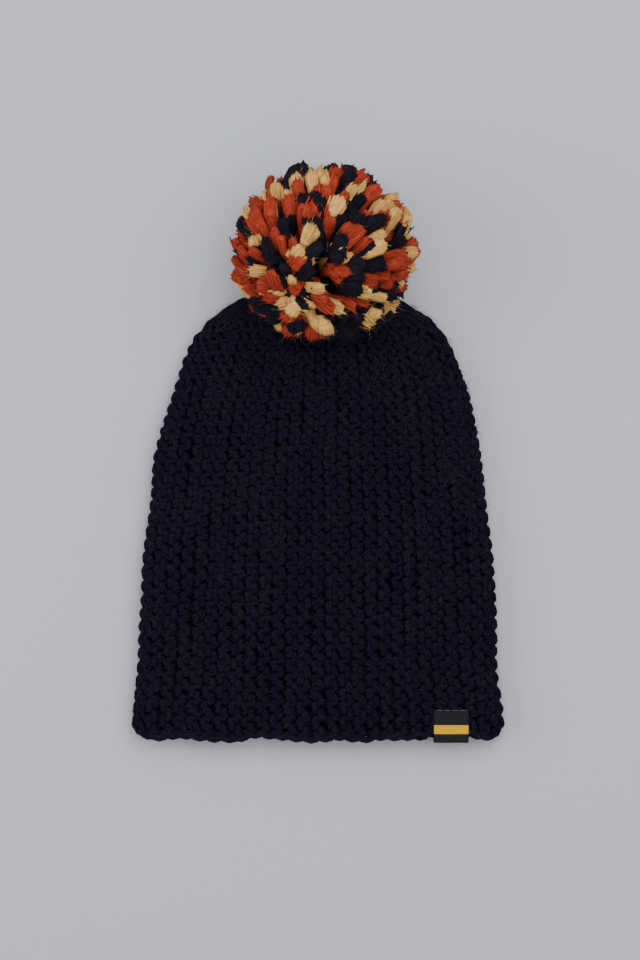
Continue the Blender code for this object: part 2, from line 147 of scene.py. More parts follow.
class CrownSurface:
    """The crown's smooth outer side as a dense grid: along from hem to gather, around from below."""

    ALONG = 300
    AROUND = 720
    OUTLINE = 240
    FOLD = 48

    def __init__(self):
        self.at = np.linspace(0, 1, self.ALONG)
        rings, lengths = zip(*(self.ring(at) for at in self.at))
        self.points = np.array(rings)
        self.length_around = np.array(lengths)
        along = np.gradient(self.points, axis=0)
        around = (np.roll(self.points, -1, axis=1) - np.roll(self.points, 1, axis=1)) / 2
        self.out = unit(np.cross(along, around))
        self.length_along = walked_along(self.points[:, self.AROUND // 2])

    def ring(self, at):
        """One section's points, evenly spaced from the middle of its underside, and its length."""
        fold = max(GATHER_RADIUS, eased("fold", at) * FOLD_RADIUS)
        half_width = max(fold, eased("width", at) * HEM_WIDTH / 2)
        dome = eased("dome", at) * DOME
        lean = math.radians(eased("tilt", at))
        flat = half_width - fold
        share = np.linspace(-1, 1, self.OUTLINE, endpoint=False)
        turn = np.linspace(0, math.pi, self.FOLD, endpoint=False)
        x = np.concatenate((
            flat * share,
            flat + fold * np.sin(turn),
            -flat * share,
            -flat - fold * np.sin(turn),
        ))
        height = np.concatenate((
            np.full(self.OUTLINE, -fold),
            -fold * np.cos(turn),
            fold + dome * (1 + np.cos(math.pi * share)) / 2,
            fold * np.cos(turn),
        ))
        fade = max(0.0, 1 - at / BOW_ENDS) ** 2
        bow = HEM_BOW * np.minimum(1, (x / half_width) ** 2) * fade
        y = -CROWN_LENGTH / 2 + eased("reach", at) * CROWN_LENGTH + bow - height * math.sin(lean)
        z = np.maximum(0, eased("rise", at) * FOLD_RADIUS + height * math.cos(lean))
        outline = np.stack((x + eased("aside", at) * FOLD_RADIUS, y, z), axis=1)
        outline = np.roll(outline, -(self.OUTLINE // 2), axis=0)
        outline = np.vstack((outline, outline[:1]))
        walked = walked_along(outline)
        wanted = np.linspace(0, walked[-1], self.AROUND, endpoint=False)
        spaced = np.stack([np.interp(wanted, walked, outline[:, i]) for i in range(3)], axis=1)
        return spaced, walked[-1]

    def sample(self, grid, at, around):
        """Values of a grid between its nodes, at shares along and around."""
        a = np.clip(at, 0, 1) * (self.ALONG - 1)
        i = np.minimum(a.astype(int), self.ALONG - 2)
        fa = (a - i)[..., None]
        b = (around % 1.0) * self.AROUND
        j = b.astype(int) % self.AROUND
        fb = (b - np.floor(b))[..., None]
        k = (j + 1) % self.AROUND
        low = grid[i, j] * (1 - fb) + grid[i, k] * fb
        high = grid[i + 1, j] * (1 - fb) + grid[i + 1, k] * fb
        return low * (1 - fa) + high * fa

    def place(self, at, around, height):
        """Points at a height above the smooth surface, and the way out there."""
        base = self.sample(self.points, at, around)
        out = unit(self.sample(self.out, at, around))
        return base + out * height[..., None], out

    def metres_around(self, at):
        """The length of the way round, at shares along."""
        return np.interp(at, self.at, self.length_around)

    def at_length(self, length):
        """Shares along of lengths from the hem, measured over the hat's upper side."""
        return np.interp(length, self.length_along, self.at)


class Value:
    """A node's output, which adds Math nodes when an expression uses it."""

    def __init__(self, finish, socket):
        self.finish = finish
        self.socket = socket

    def maths(self, operation, *values, clamp=False):
        settings = {"operation": operation, "use_clamp": clamp}
        return self.finish.node("ShaderNodeMath", settings, dict(enumerate(values)))

    def __add__(self, other):
        return self.maths("ADD", self, other)

    __radd__ = __add__

    def __sub__(self, other):
        return self.maths("SUBTRACT", self, other)

    def __rsub__(self, other):
        return self.maths("SUBTRACT", other, self)

    def __mul__(self, other):
        return self.maths("MULTIPLY", self, other)

    __rmul__ = __mul__

    def __abs__(self):
        return self.maths("ABSOLUTE", self)

    def __pow__(self, other):
        return self.maths("POWER", self, other)

    def wave(self):
        """The sine of the value, brought into 0 to 1."""
        return self.maths("SINE", self) * 0.5 + 0.5

    def above(self, edge):
        return self.maths("GREATER_THAN", self, edge)

    def clamped(self):
        """The value, kept within 0 to 1."""
        return self.maths("ADD", self, 0.0, clamp=True)


class Finish:
    """A procedural material: nodes under one Principled shader."""

    def __init__(self, name, roughness, sheen=0.0, sheen_tint=(1, 1, 1), gloss=0.3):
        self.material = bpy.data.materials.new(name)
        self.material.use_nodes = True
        self.tree = self.material.node_tree
        self.shader = self.tree.nodes["Principled BSDF"]
        self.shader.inputs["Roughness"].default_value = roughness
        self.shader.inputs["Specular IOR Level"].default_value = gloss
        self.shader.inputs["Sheen Weight"].default_value = sheen
        self.shader.inputs["Sheen Roughness"].default_value = 0.5
        self.shader.inputs["Sheen Tint"].default_value = (*sheen_tint, 1)

    def node(self, kind, settings=None, sockets=None, output=0):
        """A node of a type, with its settings made first and then its sockets; gives an output."""
        made = self.tree.nodes.new(kind)
        for name, value in (settings or {}).items():
            setattr(made, name, value)
        for name, value in (sockets or {}).items():
            if isinstance(value, Value):
                self.tree.links.new(value.socket, made.inputs[name])
            else:
                made.inputs[name].default_value = value
        return Value(self, made.outputs[output])

    def noise(self, vector, scale, detail=3.0, roughness=0.6):
        sockets = {"Vector": vector, "Scale": scale, "Detail": detail, "Roughness": roughness}
        return self.node("ShaderNodeTexNoise", {}, sockets, "Fac")

    def stretched(self, vector, scale):
        """A vector with each of its axes scaled by its own amount."""
        return self.node("ShaderNodeMapping", {}, {"Vector": vector, "Scale": scale})

    def parts(self, vector):
        """The three numbers of a vector."""
        split = self.node("ShaderNodeSeparateXYZ", {}, {0: vector}).socket.node
        return [Value(self, output) for output in split.outputs]

    def place(self):
        """The place on the object, in metres."""
        return self.node("ShaderNodeTexCoord", output="Object")

    def mixed(self, factor, first, second):
        """A mix of two colours, each a value or three numbers."""
        first, second = (
            colour if isinstance(colour, Value) else (*colour, 1) for colour in (first, second)
        )
        return self.node(
            "ShaderNodeMix", {"data_type": "RGBA"}, {0: factor, 6: first, 7: second}, 2
        )

    def uv(self, name):
        return self.node("ShaderNodeUVMap", {"uv_map": name})

    def attribute(self, name):
        return self.node("ShaderNodeAttribute", {"attribute_name": name}, {}, "Fac")

    def bump(self, height, distance, strength=1.0):
        sockets = {"Height": height, "Distance": distance, "Strength": strength}
        return self.node("ShaderNodeBump", {}, sockets)

    def feed(self, **sockets):
        """Links values to the shader's sockets, named with spaces as underscores."""
        for name, value in sockets.items():
            self.tree.links.new(value.socket, self.shader.inputs[name.replace("_", " ")])


def scaled(colour, factor, more=0.0):
    """A colour times a factor, with a little more of all three parts, kept below 1."""
    return tuple(min(1.0, factor * part + more) for part in colour)


class YarnFinish(Finish):
    """A finish for yarn, on the coordinates along and around it that Tubes gives.

    dark is a painted shade colour for its grooves and deep parts, colour is its own, and light is
    the pale colour of its loose fibres, which also serves as a painted highlight.
    """

    def __init__(self, name, dark, colour, light, roughness, sheen, gloss):
        super().__init__(name, roughness, sheen, light, gloss)
        self.dark, self.colour, self.light = dark, colour, light
        self.yarn = self.uv("yarn")
        self.shade = self.attribute("shade")

    def streaks(self, scale, detail, roughness):
        """Noise that is drawn out along the yarn."""
        return self.noise(self.stretched(self.yarn, scale), 1.0, detail, roughness)

    def coloured(self, tone_and_painted_shade, fibres, haze_from, haze_to):
        """The yarn's colour: painted shade towards dark where it is deep, and pale where loose fibres
        lie over its lit parts, partly a painted highlight.
        """
        base = self.mixed(tone_and_painted_shade.clamped(), self.dark, self.colour)
        span = {"Value": fibres, "From Min": haze_from, "From Max": haze_to}
        haze = self.node("ShaderNodeMapRange", {}, span)
        # The pale mix follows the shade attribute, so it is partly a painted highlight.
        return self.mixed(haze * self.shade.clamped(), base, self.light)


TWISTS_A_METRE = 90
KNIT_RELIEF = 0.0006
ROVING_RELIEF = 0.0011


def knit_finish(dark, colour, light):
    """Soft spun yarn: fibres along it, the grooves between its plies, uneven tone, and painted shade
    where its loops sink.
    """
    finish = YarnFinish("knit_yarn", dark, colour, light, 0.95, 0.03, 0.05)
    along, around, _ = finish.parts(finish.yarn)
    fibres = finish.streaks((260.0, 26.0, 1.0), 4.0, 0.7)
    tufts = finish.noise(finish.place(), 420.0, 2.0)
    plies = (along * (TWISTS_A_METRE * math.tau) + around * (2 * math.tau)).wave() ** 0.5
    # Plies and fibres give the yarn's uneven tone; the shade attribute adds painted shade where its
    # loops sink between their heads.
    tone_and_painted_shade = plies * 0.25 + fibres * 0.35 + finish.shade * 0.55 - 0.1
    height = plies * 0.55 + fibres * 0.3 + tufts * 0.25
    colour_with_painted_shade = finish.coloured(tone_and_painted_shade, fibres, 0.52, 0.78)
    finish.feed(Base_Color=colour_with_painted_shade, Normal=finish.bump(height, KNIT_RELIEF))
    return finish.material


def roving_finish(name, colour):
    """Thick soft yarn that is hardly spun: streaks of fibre along it, painted shade where it is deep
    and a painted highlight towards its tips.
    """
    # Darker and lighter copies of the yarn's own colour, for painted shade and a painted highlight.
    dark, light = scaled(colour, 0.32), scaled(colour, 1.3, 0.01)
    finish = YarnFinish(name, dark, colour, light, 0.92, 0.12, 0.15)
    locks = finish.streaks((90.0, 6.5, 1.0), 3.0, 0.6)
    fibres = finish.streaks((220.0, 24.0, 1.0), 3.0, 0.7)
    tufts = finish.noise(finish.place(), 380.0, 2.0)
    # The shade attribute adds painted shade at the roots, flanks and underside and a painted
    # highlight at the tips; locks and fibres give uneven tone.
    tone_and_painted_shade = finish.shade * 0.75 + locks * 0.9 + fibres * 0.35 - 0.50
    height = locks * 0.8 + fibres * 0.45 + tufts * 0.3
    colour_with_painted_shade = finish.coloured(tone_and_painted_shade, fibres, 0.50, 0.75)
    finish.feed(Base_Color=colour_with_painted_shade, Normal=finish.bump(height, ROVING_RELIEF))
    return finish.material


def fibre_finish(name, colour, gloss=0.3):
    """Single loose fibres, a little glossy, uneven along their length."""
    finish = Finish(name, 0.6, 0.1, colour, gloss)
    uneven = finish.noise(finish.place(), 900.0, 1.0)
    finish.feed(Base_Color=finish.mixed(uneven, scaled(colour, 0.55), colour))
    return finish.material


def mesh_piece(name, points, faces, material, uvs=None, shades=None):
    """An object at the origin from arrays. uvs: one pair for each point, shades: one number."""
    mesh = bpy.data.meshes.new(name)
    faces = np.asarray(faces, np.int32)
    mesh.vertices.add(len(points))
    mesh.vertices.foreach_set("co", np.asarray(points, np.float32).ravel())
    mesh.loops.add(faces.size)
    mesh.loops.foreach_set("vertex_index", faces.ravel())
    mesh.polygons.add(len(faces))
    mesh.polygons.foreach_set("loop_start", np.arange(0, faces.size, faces.shape[1], dtype=np.int32))
    mesh.polygons.foreach_set("material_index", np.zeros(len(faces), np.int32))
    mesh.update(calc_edges=True)
    if uvs is not None:
        layer = mesh.uv_layers.new(name="yarn")
        layer.uv.foreach_set("vector", np.asarray(uvs, np.float32)[faces.ravel()].ravel())
    if shades is not None:
        attribute = mesh.attributes.new("shade", "FLOAT", "POINT")
        attribute.data.foreach_set("value", np.asarray(shades, np.float32))
    mesh.materials.append(material)
    mesh.shade_smooth()
    made = bpy.data.objects.new(name, mesh)
    bpy.context.scene.collection.objects.link(made)
    return made


def tube_rings(paths, out, wide, thick, sides):
    """Rings of points round paths, as (tube, ring, side, 3). out: the way the thickness points.

    wide and thick are the half sizes across.
    """
    ahead = unit(np.gradient(paths, axis=1))
    across = unit(np.cross(ahead, out))
    raised = np.cross(across, ahead)
    turn = np.arange(sides) * math.tau / sides
    return paths[:, :, None] + (
        across[:, :, None] * (wide[..., None] * np.cos(turn))[..., None]
        + raised[:, :, None] * (thick[..., None] * np.sin(turn))[..., None]
    )


# Soft ridges along a strand's body: how many, how high, how they wind and how uneven they are,
# and how much painted shade darkens the body's underside.
LOBES = 3
LOBE_SHARE = 0.10
LOBE_WIND = 0.5
LOBE_STRAY = 0.05
UNDERSIDE_SHADE = 0.35


class Tubes:
    """Many tubes in one mesh, all with the same counts of rings and sides.

    Only an even count of sides closes the ends: with an odd one, the last face at each end has a
    doubled corner and can be lost, which leaves a small hole.
    """

    def __init__(self, sides):
        self.sides = sides
        self.points, self.faces, self.uvs, self.shades = [], [], [], []
        self.count = 0

    def add(self, paths, out, wide, thick, shades):
        """Adds tubes with the rings of tube_rings. shades: a number for each ring."""
        tubes, rings, _ = paths.shape
        body = tube_rings(paths, out, wide, thick, self.sides)
        steps = np.linalg.norm(np.diff(paths, axis=1), axis=2)
        walked = np.concatenate((np.zeros((tubes, 1)), np.cumsum(steps, axis=1)), axis=1)
        uv = np.empty((tubes, rings, self.sides, 2))
        uv[..., 0] = walked[..., None]
        uv[..., 1] = np.abs(np.arange(self.sides) / self.sides * 2 - 1)
        ring, side = np.meshgrid(np.arange(rings - 1), np.arange(self.sides), indexing="ij")
        after = (side + 1) % self.sides
        quads = np.stack((
            ring * self.sides + side,
            ring * self.sides + after,
            (ring + 1) * self.sides + after,
            (ring + 1) * self.sides + side,
        ), axis=-1).reshape(-1, 4)
        ends = []
        last = (rings - 1) * self.sides
        for k in range(0, self.sides - 2, 2):
            corner = min(k + 3, self.sides) % self.sides
            ends.append((0, corner, k + 2, k + 1))
            ends.append((last, last + k + 1, last + k + 2, last + corner))
        quads = np.vstack((quads, ends))
        per_tube = rings * self.sides
        offset = self.count + np.arange(tubes)[:, None, None] * per_tube
        self.faces.append((quads[None] + offset).reshape(-1, 4))
        self.points.append(body.reshape(-1, 3))
        self.uvs.append(uv.reshape(-1, 2))
        self.shades.append(np.repeat(shades[..., None], self.sides, axis=2).ravel())
        self.count += tubes * per_tube
        return self

    def add_lobes(self, paths, dice):
        """Gives the last tubes added soft ridges along them, which wind a little, and painted shade
        on their underside.
        """
        tubes, rings, _ = paths.shape
        points = self.points[-1].reshape(tubes, rings, self.sides, 3)
        side = np.arange(self.sides) * math.tau / self.sides
        phase = dice.uniform(0, math.tau, tubes)[:, None] + LOBE_WIND * np.arange(rings)
        swell = LOBE_SHARE * np.sin(side * LOBES + phase[..., None])
        swell = swell + LOBE_STRAY * dice.normal(size=(tubes, rings, self.sides))
        middle = paths[:, :, None]
        self.points[-1] = (middle + (points - middle) * (1 + swell[..., None])).reshape(-1, 3)
        # Painted shade: the shade attribute is lowered on the underside of each tube.
        below = 0.5 - 0.5 * np.sin(side)
        shades = self.shades[-1].reshape(tubes, rings, self.sides)
        self.shades[-1] = (shades - UNDERSIDE_SHADE * below ** 2).ravel()

    def build(self, name, material):
        """All the tubes as one piece, none of it in the floor."""
        points = np.vstack(self.points)
        points[:, 2] = np.maximum(points[:, 2], FLOOR_GAP)
        uvs, shades = np.vstack(self.uvs), np.concatenate(self.shades)
        return mesh_piece(name, points, np.vstack(self.faces), material, uvs, shades)


def smooth_random(dice, rows, columns, passes):
    """Random numbers in a grid, evened out with their neighbours, with a spread of 1."""
    grid = dice.normal(size=(rows, columns))
    for _ in range(passes):
        grid = (grid + np.roll(grid, 1, 0) + np.roll(grid, -1, 0)) / 3
        grid = (grid + np.roll(grid, 1, 1) + np.roll(grid, -1, 1)) / 3
    return grid / grid.std()


class HatKnit(bpy.types.PropertyGroup):
    stitch_length: bpy.props.FloatProperty(
        name="Stitch length", description="Length of a stitch along its row, half way up the hat",
        default=0.0080, min=0.003, subtype="DISTANCE", unit="LENGTH",
    )
    yarn_radius: bpy.props.FloatProperty(
        name="Yarn radius", description="Half the yarn's thickness, seen from outside",
        default=0.00188, min=0.0005, subtype="DISTANCE", unit="LENGTH",
    )
    loop_depth: bpy.props.FloatProperty(
        name="Loop depth", description="How far a loop's head stands out from the wall's middle",
        default=0.0023, min=0.0, subtype="DISTANCE", unit="LENGTH",
    )
    lean: bpy.props.FloatProperty(
        name="Lean", description="How far a loop's head slants across its row",
        default=0.0011, subtype="DISTANCE", unit="LENGTH",
    )
    unevenness: bpy.props.FloatProperty(
        name="Unevenness", description="How far stitches stray from their place",
        default=0.00070, min=0.0, subtype="DISTANCE", unit="LENGTH",
    )
    fuzz: bpy.props.IntProperty(
        name="Fuzz", description="Loose fibres over the knit", default=8000, min=0,
    )
    colour: bpy.props.FloatVectorProperty(
        name="Yarn colour", description="The knit's own colour",
        default=(0.0050, 0.0037, 0.0098), subtype="COLOR", size=3, min=0.0, max=1.0,
    )
    haze: bpy.props.FloatVectorProperty(
        name="Fibre colour", description="The colour of the knit's loose fibres",
        default=(0.055, 0.049, 0.070), subtype="COLOR", size=3, min=0.0, max=1.0,
    )


class HatPompom(bpy.types.PropertyGroup):
    strands: bpy.props.IntProperty(
        name="Strands", description="Cut yarn ends in the whole ball", default=540, min=20,
    )
    strand_radius: bpy.props.FloatProperty(
        name="Strand radius", description="Half the width of a strand near its tip",
        default=0.0041, min=0.001, subtype="DISTANCE", unit="LENGTH",
    )
    fibres: bpy.props.IntProperty(
        name="Fibres", description="Loose fibres at the tip of each wisp", default=2, min=0,
    )
    rust: bpy.props.FloatVectorProperty(
        name="Rust yarn", description="The orange yarn's colour",
        default=(0.48, 0.053, 0.024), subtype="COLOR", size=3, min=0.0, max=1.0,
    )
    cream: bpy.props.FloatVectorProperty(
        name="Cream yarn", description="The pale yarn's colour",
        default=(1.00, 0.53, 0.155), subtype="COLOR", size=3, min=0.0, max=1.0,
    )
    navy: bpy.props.FloatVectorProperty(
        name="Navy yarn", description="The dark yarn's colour",
        default=(0.0095, 0.0065, 0.0160), subtype="COLOR", size=3, min=0.0, max=1.0,
    )


class HatLabel(bpy.types.PropertyGroup):
    ground: bpy.props.FloatVectorProperty(
        name="Ground", description="The label's own colour",
        default=(0.0150, 0.0138, 0.0175), subtype="COLOR", size=3, min=0.0, max=1.0,
    )
    stripe: bpy.props.FloatVectorProperty(
        name="Stripe", description="The colour of the label's woven stripe",
        default=(0.80, 0.42, 0.004), subtype="COLOR", size=3, min=0.0, max=1.0,
    )
    stitches: bpy.props.IntProperty(
        name="Stitches", description="Stitches along the label's edge", default=4, min=1,
    )


class HatStage(bpy.types.PropertyGroup):
    camera_height: bpy.props.FloatProperty(
        name="Camera height", description="Height of the camera above the surface",
        default=1.8, min=0.5, subtype="DISTANCE", unit="LENGTH",
    )
    light: bpy.props.FloatProperty(
        name="Light", description="Power of the large soft light above",
        default=26.0, min=0.0, unit="POWER",
    )
    floor: bpy.props.FloatVectorProperty(
        name="Floor colour", description="Colour of the plain floor",
        default=(0.489, 0.495, 0.536), subtype="COLOR", size=3, min=0.0, max=1.0,
    )


# The knit's place. Rows that lie closer than FULL_SPACING have smaller loops.
RIDGE_ROWS = 2 * RIDGES
FULL_SPACING = 0.0042
FLOOR_GAP = 0.0002
KNIT_START = 0.0032
KNIT_END = 0.992
HEM_STITCH_STRETCH = 1.12
TOP_STITCH_SHRINK = 0.84
# A loop: how much its head is drawn out, how far its links rise and sink, how much of its row it
# takes, how long it stays at its two ends, across and in depth, and the least share of its depth
# that it keeps where rows lie close.
HEAD_SHARE = 0.90
LINK_RISE = 0.0008
RIDGE_SHARE = 0.95
STAY_ACROSS = 4.0
STAY_DEEP = 3.0
SHALLOWEST = 0.45
# How far loops stray along their row, in stitches, and across and in depth, as a share of the
# unevenness.
STRAY_ALONG = 0.12
STRAY_SHARE = 0.7
# The yarn: the sides of its tubes, its girth at links and at heads as shares of its radius, how
# that strays and shrinks where rows lie close, and how much it is pressed flat.
YARN_SIDES = 6
LINK_GIRTH = 0.78
HEAD_SWELL = 0.30
GIRTH_STRAY = 0.06
SQUEEZED_POWER = 0.7
PRESSED = 0.04
# The turns of the yarn at the hem, and the two yarns along it.
TURN_RINGS = 3
TURN_BULGE = 0.25
HEM_EDGE_RINGS = 6
HEM_EDGE_WIND = 0.0011
HEM_EDGE_SET_IN = 0.0042
HEM_EDGE_GIRTH = 0.85
HEM_EDGE_SHADE = 0.6
# The loose fibres over the knit: where they start, and how long, curled and raised they are.
FUZZ_ALONG = (0, 0.95)
FUZZ_AROUND = (0.17, 0.83)
FUZZ_HEIGHT = (-0.0012, 0.0006)
FUZZ_LENGTH = (0.003, 0.009)
FUZZ_CURL = (-0.5, 0.5)
FUZZ_LIFT = (0.05, 0.35)
FUZZ_ARC = 2.2
FUZZ_RADIUS = 0.00007
FIBRE_RINGS = 3
FIBRE_TIP = 0.35


def stitch_places(surface, stitch_length):
    """Shares along the crown of the boundaries between stitches, longer near the hem."""
    whole = surface.length_along[-1] * KNIT_END - KNIT_START
    count = round(whole / stitch_length)
    size = np.linspace(HEM_STITCH_STRETCH, TOP_STITCH_SHRINK, count)
    lengths = KNIT_START + np.concatenate(([0], np.cumsum(size))) / size.sum() * whole
    return surface.at_length(lengths)


def flattened(wave, stay):
    """A wave from -1 to 1 that stays longer at its two ends."""
    return np.tanh(stay * wave) / math.tanh(stay)


def knit_rows(surface, sizes, rows, steps, tubes, wild):
    """Adds rows of garter stitch, in pairs that turn at the hem.

    rows: the numbers of the first row of each pair. steps: points to a stitch. wild: how each
    stitch of each row strays, as four grids.
    """
    places = stitch_places(surface, sizes.stitch_length)
    stitches = len(places) - 1
    phase = np.arange(steps * stitches - steps // 4) / steps + 0.25
    turn = phase * math.tau
    middles = np.arange(stitches) + 0.5
    astray = STRAY_SHARE * sizes.unevenness
    strands = []
    for row in (rows, rows + 1):
        heads = np.where(row % 2 == 1, 1.0, -1.0)[:, None]
        stray = [
            np.array([np.interp(phase, middles, grid[number % RIDGE_ROWS]) for number in row])
            for grid in wild
        ]
        at = np.interp(phase + STRAY_ALONG * stray[0], np.arange(stitches + 1), places)
        spacing = surface.metres_around(at) / RIDGE_ROWS
        squeeze = np.minimum(1, spacing / FULL_SPACING)
        swing = np.cos(turn - heads * HEAD_SHARE * np.sin(turn))
        across = spacing * flattened(swing, STAY_ACROSS) * RIDGE_SHARE
        across = across + (sizes.lean * np.sin(2 * turn) + astray * stray[1]) * squeeze
        around = (row[:, None] + 0.5) / RIDGE_ROWS + across / (spacing * RIDGE_ROWS)
        raised = heads * flattened(swing, STAY_DEEP)
        depth = raised * sizes.loop_depth - LINK_RISE * np.sin(turn)
        depth = depth * (SHALLOWEST + (1 - SHALLOWEST) * squeeze)
        gathered = share_within(at, GATHER_STARTS, GATHER_FULL)
        pucker = PUCKER_DEPTH * np.cos(math.tau * PUCKERS * around) * gathered * squeeze
        height = -WALL / 2 + depth + pucker + astray * stray[2]
        points, out = surface.place(at, around, height)
        plump = (LINK_GIRTH + HEAD_SWELL * np.clip(raised, 0, 1)) * squeeze ** SQUEEZED_POWER
        radius = sizes.yarn_radius * plump * (1 + GIRTH_STRAY * stray[3])
        # The shade attribute: painted shade, darker where the yarn sinks between the loops' heads and
        # lighter on them, with some random tone.
        strands.append((points, out, radius, 0.35 + 0.5 * raised + 0.16 * stray[3]))
    first, second = strands
    points, out, radius, shade = (
        np.concatenate((a[:, ::-1], c, b), axis=1)
        for a, b, c in zip(first, second, hem_turns(first, second))
    )
    tubes.add(points, out, radius * (1 + PRESSED), radius * (1 - PRESSED), shade)


def hem_turns(first, second):
    """The yarn's short turns at the hem, from the start of one row to that of the next."""
    share = (np.arange(TURN_RINGS) + 1) / (TURN_RINGS + 1)
    start, end = first[0][:, 0], second[0][:, 0]
    gap = np.linalg.norm(end - start, axis=1)
    bulge = np.sin(share * math.pi)[None, :, None] * (TURN_BULGE * gap)[:, None, None]
    path = start[:, None] + (end - start)[:, None] * share[None, :, None]
    path = path + np.array((0.0, -1.0, 0.0)) * bulge
    rest = [np.repeat(part[:, :1], TURN_RINGS, axis=1) for part in first[1:]]
    return path, *rest


def hem_edge(surface, sizes):
    """The two yarns that wind round each other along the hem, a turn for each ridge."""
    tubes = Tubes(YARN_SIDES)
    around = np.linspace(0, 1, RIDGES * HEM_EDGE_RINGS + 1)
    turn = math.tau * RIDGES * around
    size = np.full((1, len(around)), sizes.yarn_radius * HEM_EDGE_GIRTH)
    for way in (1, -1):
        height = -WALL / 2 + way * HEM_EDGE_WIND * np.cos(turn)
        points, out = surface.place(np.zeros(len(around)), around, height)
        points[:, 1] += HEM_EDGE_SET_IN + way * HEM_EDGE_WIND * 0.5 * np.sin(turn)
        tubes.add(points[None], out[None], size, size, np.full(size.shape, HEM_EDGE_SHADE))
    return tubes


def fuzz_paths(surface, dice, count):
    """Paths of loose fibres that lie curled over the knit's upper side."""
    at, around, height = (
        dice.uniform(*span, count) for span in (FUZZ_ALONG, FUZZ_AROUND, FUZZ_HEIGHT)
    )
    base, out = surface.place(at, around, height)
    aside = unit(np.cross(out, unit(dice.normal(size=(count, 3)))))
    curl = unit(np.cross(out, aside))
    length = dice.uniform(*FUZZ_LENGTH, count)[:, None]
    share = np.linspace(0, 1, FIBRE_RINGS)
    swing = dice.uniform(*FUZZ_CURL, count)[:, None] * length * np.sin(share * math.pi)
    lift = dice.uniform(*FUZZ_LIFT, count)[:, None] * length * np.sin(share * FUZZ_ARC)
    ways = ((length * share, aside), (swing, curl), (lift, out))
    paths = base[:, None] + sum(size[..., None] * way[:, None] for size, way in ways)
    return paths, np.repeat(out[:, None], FIBRE_RINGS, axis=1)


def add_fibres(name, paths, out, radius, material):
    """Loose fibres as one mesh of thin three-sided tubes that narrow to their tips."""
    tubes, rings, _ = paths.shape
    narrow = radius * np.linspace(1.0, FIBRE_TIP, rings)[None]
    points = tube_rings(paths, out, narrow, narrow, 3).reshape(-1, 3)
    ring, side = np.meshgrid(np.arange(rings - 1), np.arange(3), indexing="ij")
    after = (side + 1) % 3
    a, b = ring * 3 + side, ring * 3 + after
    sides = np.concatenate((
        np.stack((a, b, b + 3), axis=-1).reshape(-1, 3),
        np.stack((a, b + 3, a + 3), axis=-1).reshape(-1, 3),
        np.array(((0, 2, 1), (rings * 3 - 3, rings * 3 - 2, rings * 3 - 1))),
    ))
    faces = (sides[None] + np.arange(tubes)[:, None, None] * rings * 3).reshape(-1, 3)
    points[:, 2] = np.maximum(points[:, 2], FLOOR_GAP)
    return mesh_piece(name, points, faces, material)


def place_piece(piece, node):
    """Hangs a piece on the root body and hides the CAD node that it stands for."""
    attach(piece, "root")
    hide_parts(node)


class HAT_OT_knit_crown(bpy.types.Operator):
    """Knits the crown in garter stitch, row by row, with loose fibres over it"""

    bl_idname = "hat.knit_crown"
    bl_label = "Knit the crown"

    SEED = 7
    # Parts of the way round that are one mesh each, from the middle of the underside: their name,
    # where they start and end, and how many points a stitch has there.
    PARTS = (
        ("crown_knit_right", 0.20, 0.40, 10),
        ("crown_knit_front", 0.40, 0.60, 10),
        ("crown_knit_left", 0.60, 0.80, 10),
        ("crown_knit_under", 0.80, 1.20, 6),
    )
    # The painted shade colour for the grooves, bluer than the yarn's, by these shares of its three
    # parts.
    PAINTED_GROOVE_SHADE = (0.7, 0.5, 1.4)
    # How often each of the four grids of strays is evened out.
    PASSES = (1, 1, 2, 1)

    def execute(self, context):
        sizes = context.scene.hat_knit
        surface = CrownSurface()
        dice = np.random.default_rng(self.SEED)
        stitches = len(stitch_places(surface, sizes.stitch_length)) - 1
        wild = [smooth_random(dice, RIDGE_ROWS, stitches, passes) for passes in self.PASSES]
        # dark is the painted shade colour; the fibres' colour in light also serves as a painted
        # highlight.
        dark = tuple(share * part for share, part in zip(self.PAINTED_GROOVE_SHADE, sizes.colour))
        yarn = knit_finish(dark, sizes.colour, scaled(sizes.haze, 0.8))
        for name, start, end, steps in self.PARTS:
            rows = np.arange(2 * round(start * RIDGES), 2 * round(end * RIDGES), 2)
            tubes = Tubes(YARN_SIDES)
            knit_rows(surface, sizes, rows, steps, tubes, wild)
            place_piece(tubes.build(name, yarn), "crown")
        edge = hem_edge(surface, sizes).build("crown_hem_edge", yarn)
        place_piece(edge, "crown")
        paths, out = fuzz_paths(surface, dice, sizes.fuzz)
        hair = fibre_finish("knit_fuzz", sizes.haze, 0.1)
        fuzz = add_fibres("crown_fuzz", paths, out, FUZZ_RADIUS, hair)
        place_piece(fuzz, "crown")
        return {"FINISHED"}


# Each row is a ring of a strand's soft body. along: share of its curve, from the tie to the tip.
# girth: share of the strand's half width.
BodyRing = namedtuple("BodyRing", "along girth")
BODY_RINGS = [
    BodyRing(0.05, 0.30),
    BodyRing(0.45, 0.58),
    BodyRing(0.68, 0.82),
    BodyRing(0.84, 0.98),
    BodyRing(0.935, 0.98),
    BodyRing(0.980, 0.72),
]
# Each row is a ring of a wisp, one of the thin locks of fibres at a strand's end. girth: share of
# the wisp's own. spread: how far from the strand's middle line it lies.
WispRing = namedtuple("WispRing", "along girth spread")
WISP_RINGS = [
    WispRing(0.800, 0.60, 0.74),
    WispRing(0.915, 1.00, 0.93),
    WispRing(0.970, 0.82, 0.98),
    WispRing(1.000, 0.42, 1.02),
]
# Each row is some wisps of a strand. first and last: how far round it they lie, in degrees from
# its side, with 90 facing out of the ball. reach: how far from its middle line.
WispGroup = namedtuple("WispGroup", "count first last reach")
WISP_GROUPS = [
    WispGroup(9, -25, 205, 0.92),
    WispGroup(2, 240, 300, 0.85),
    WispGroup(3, 20, 230, 0.45),
]
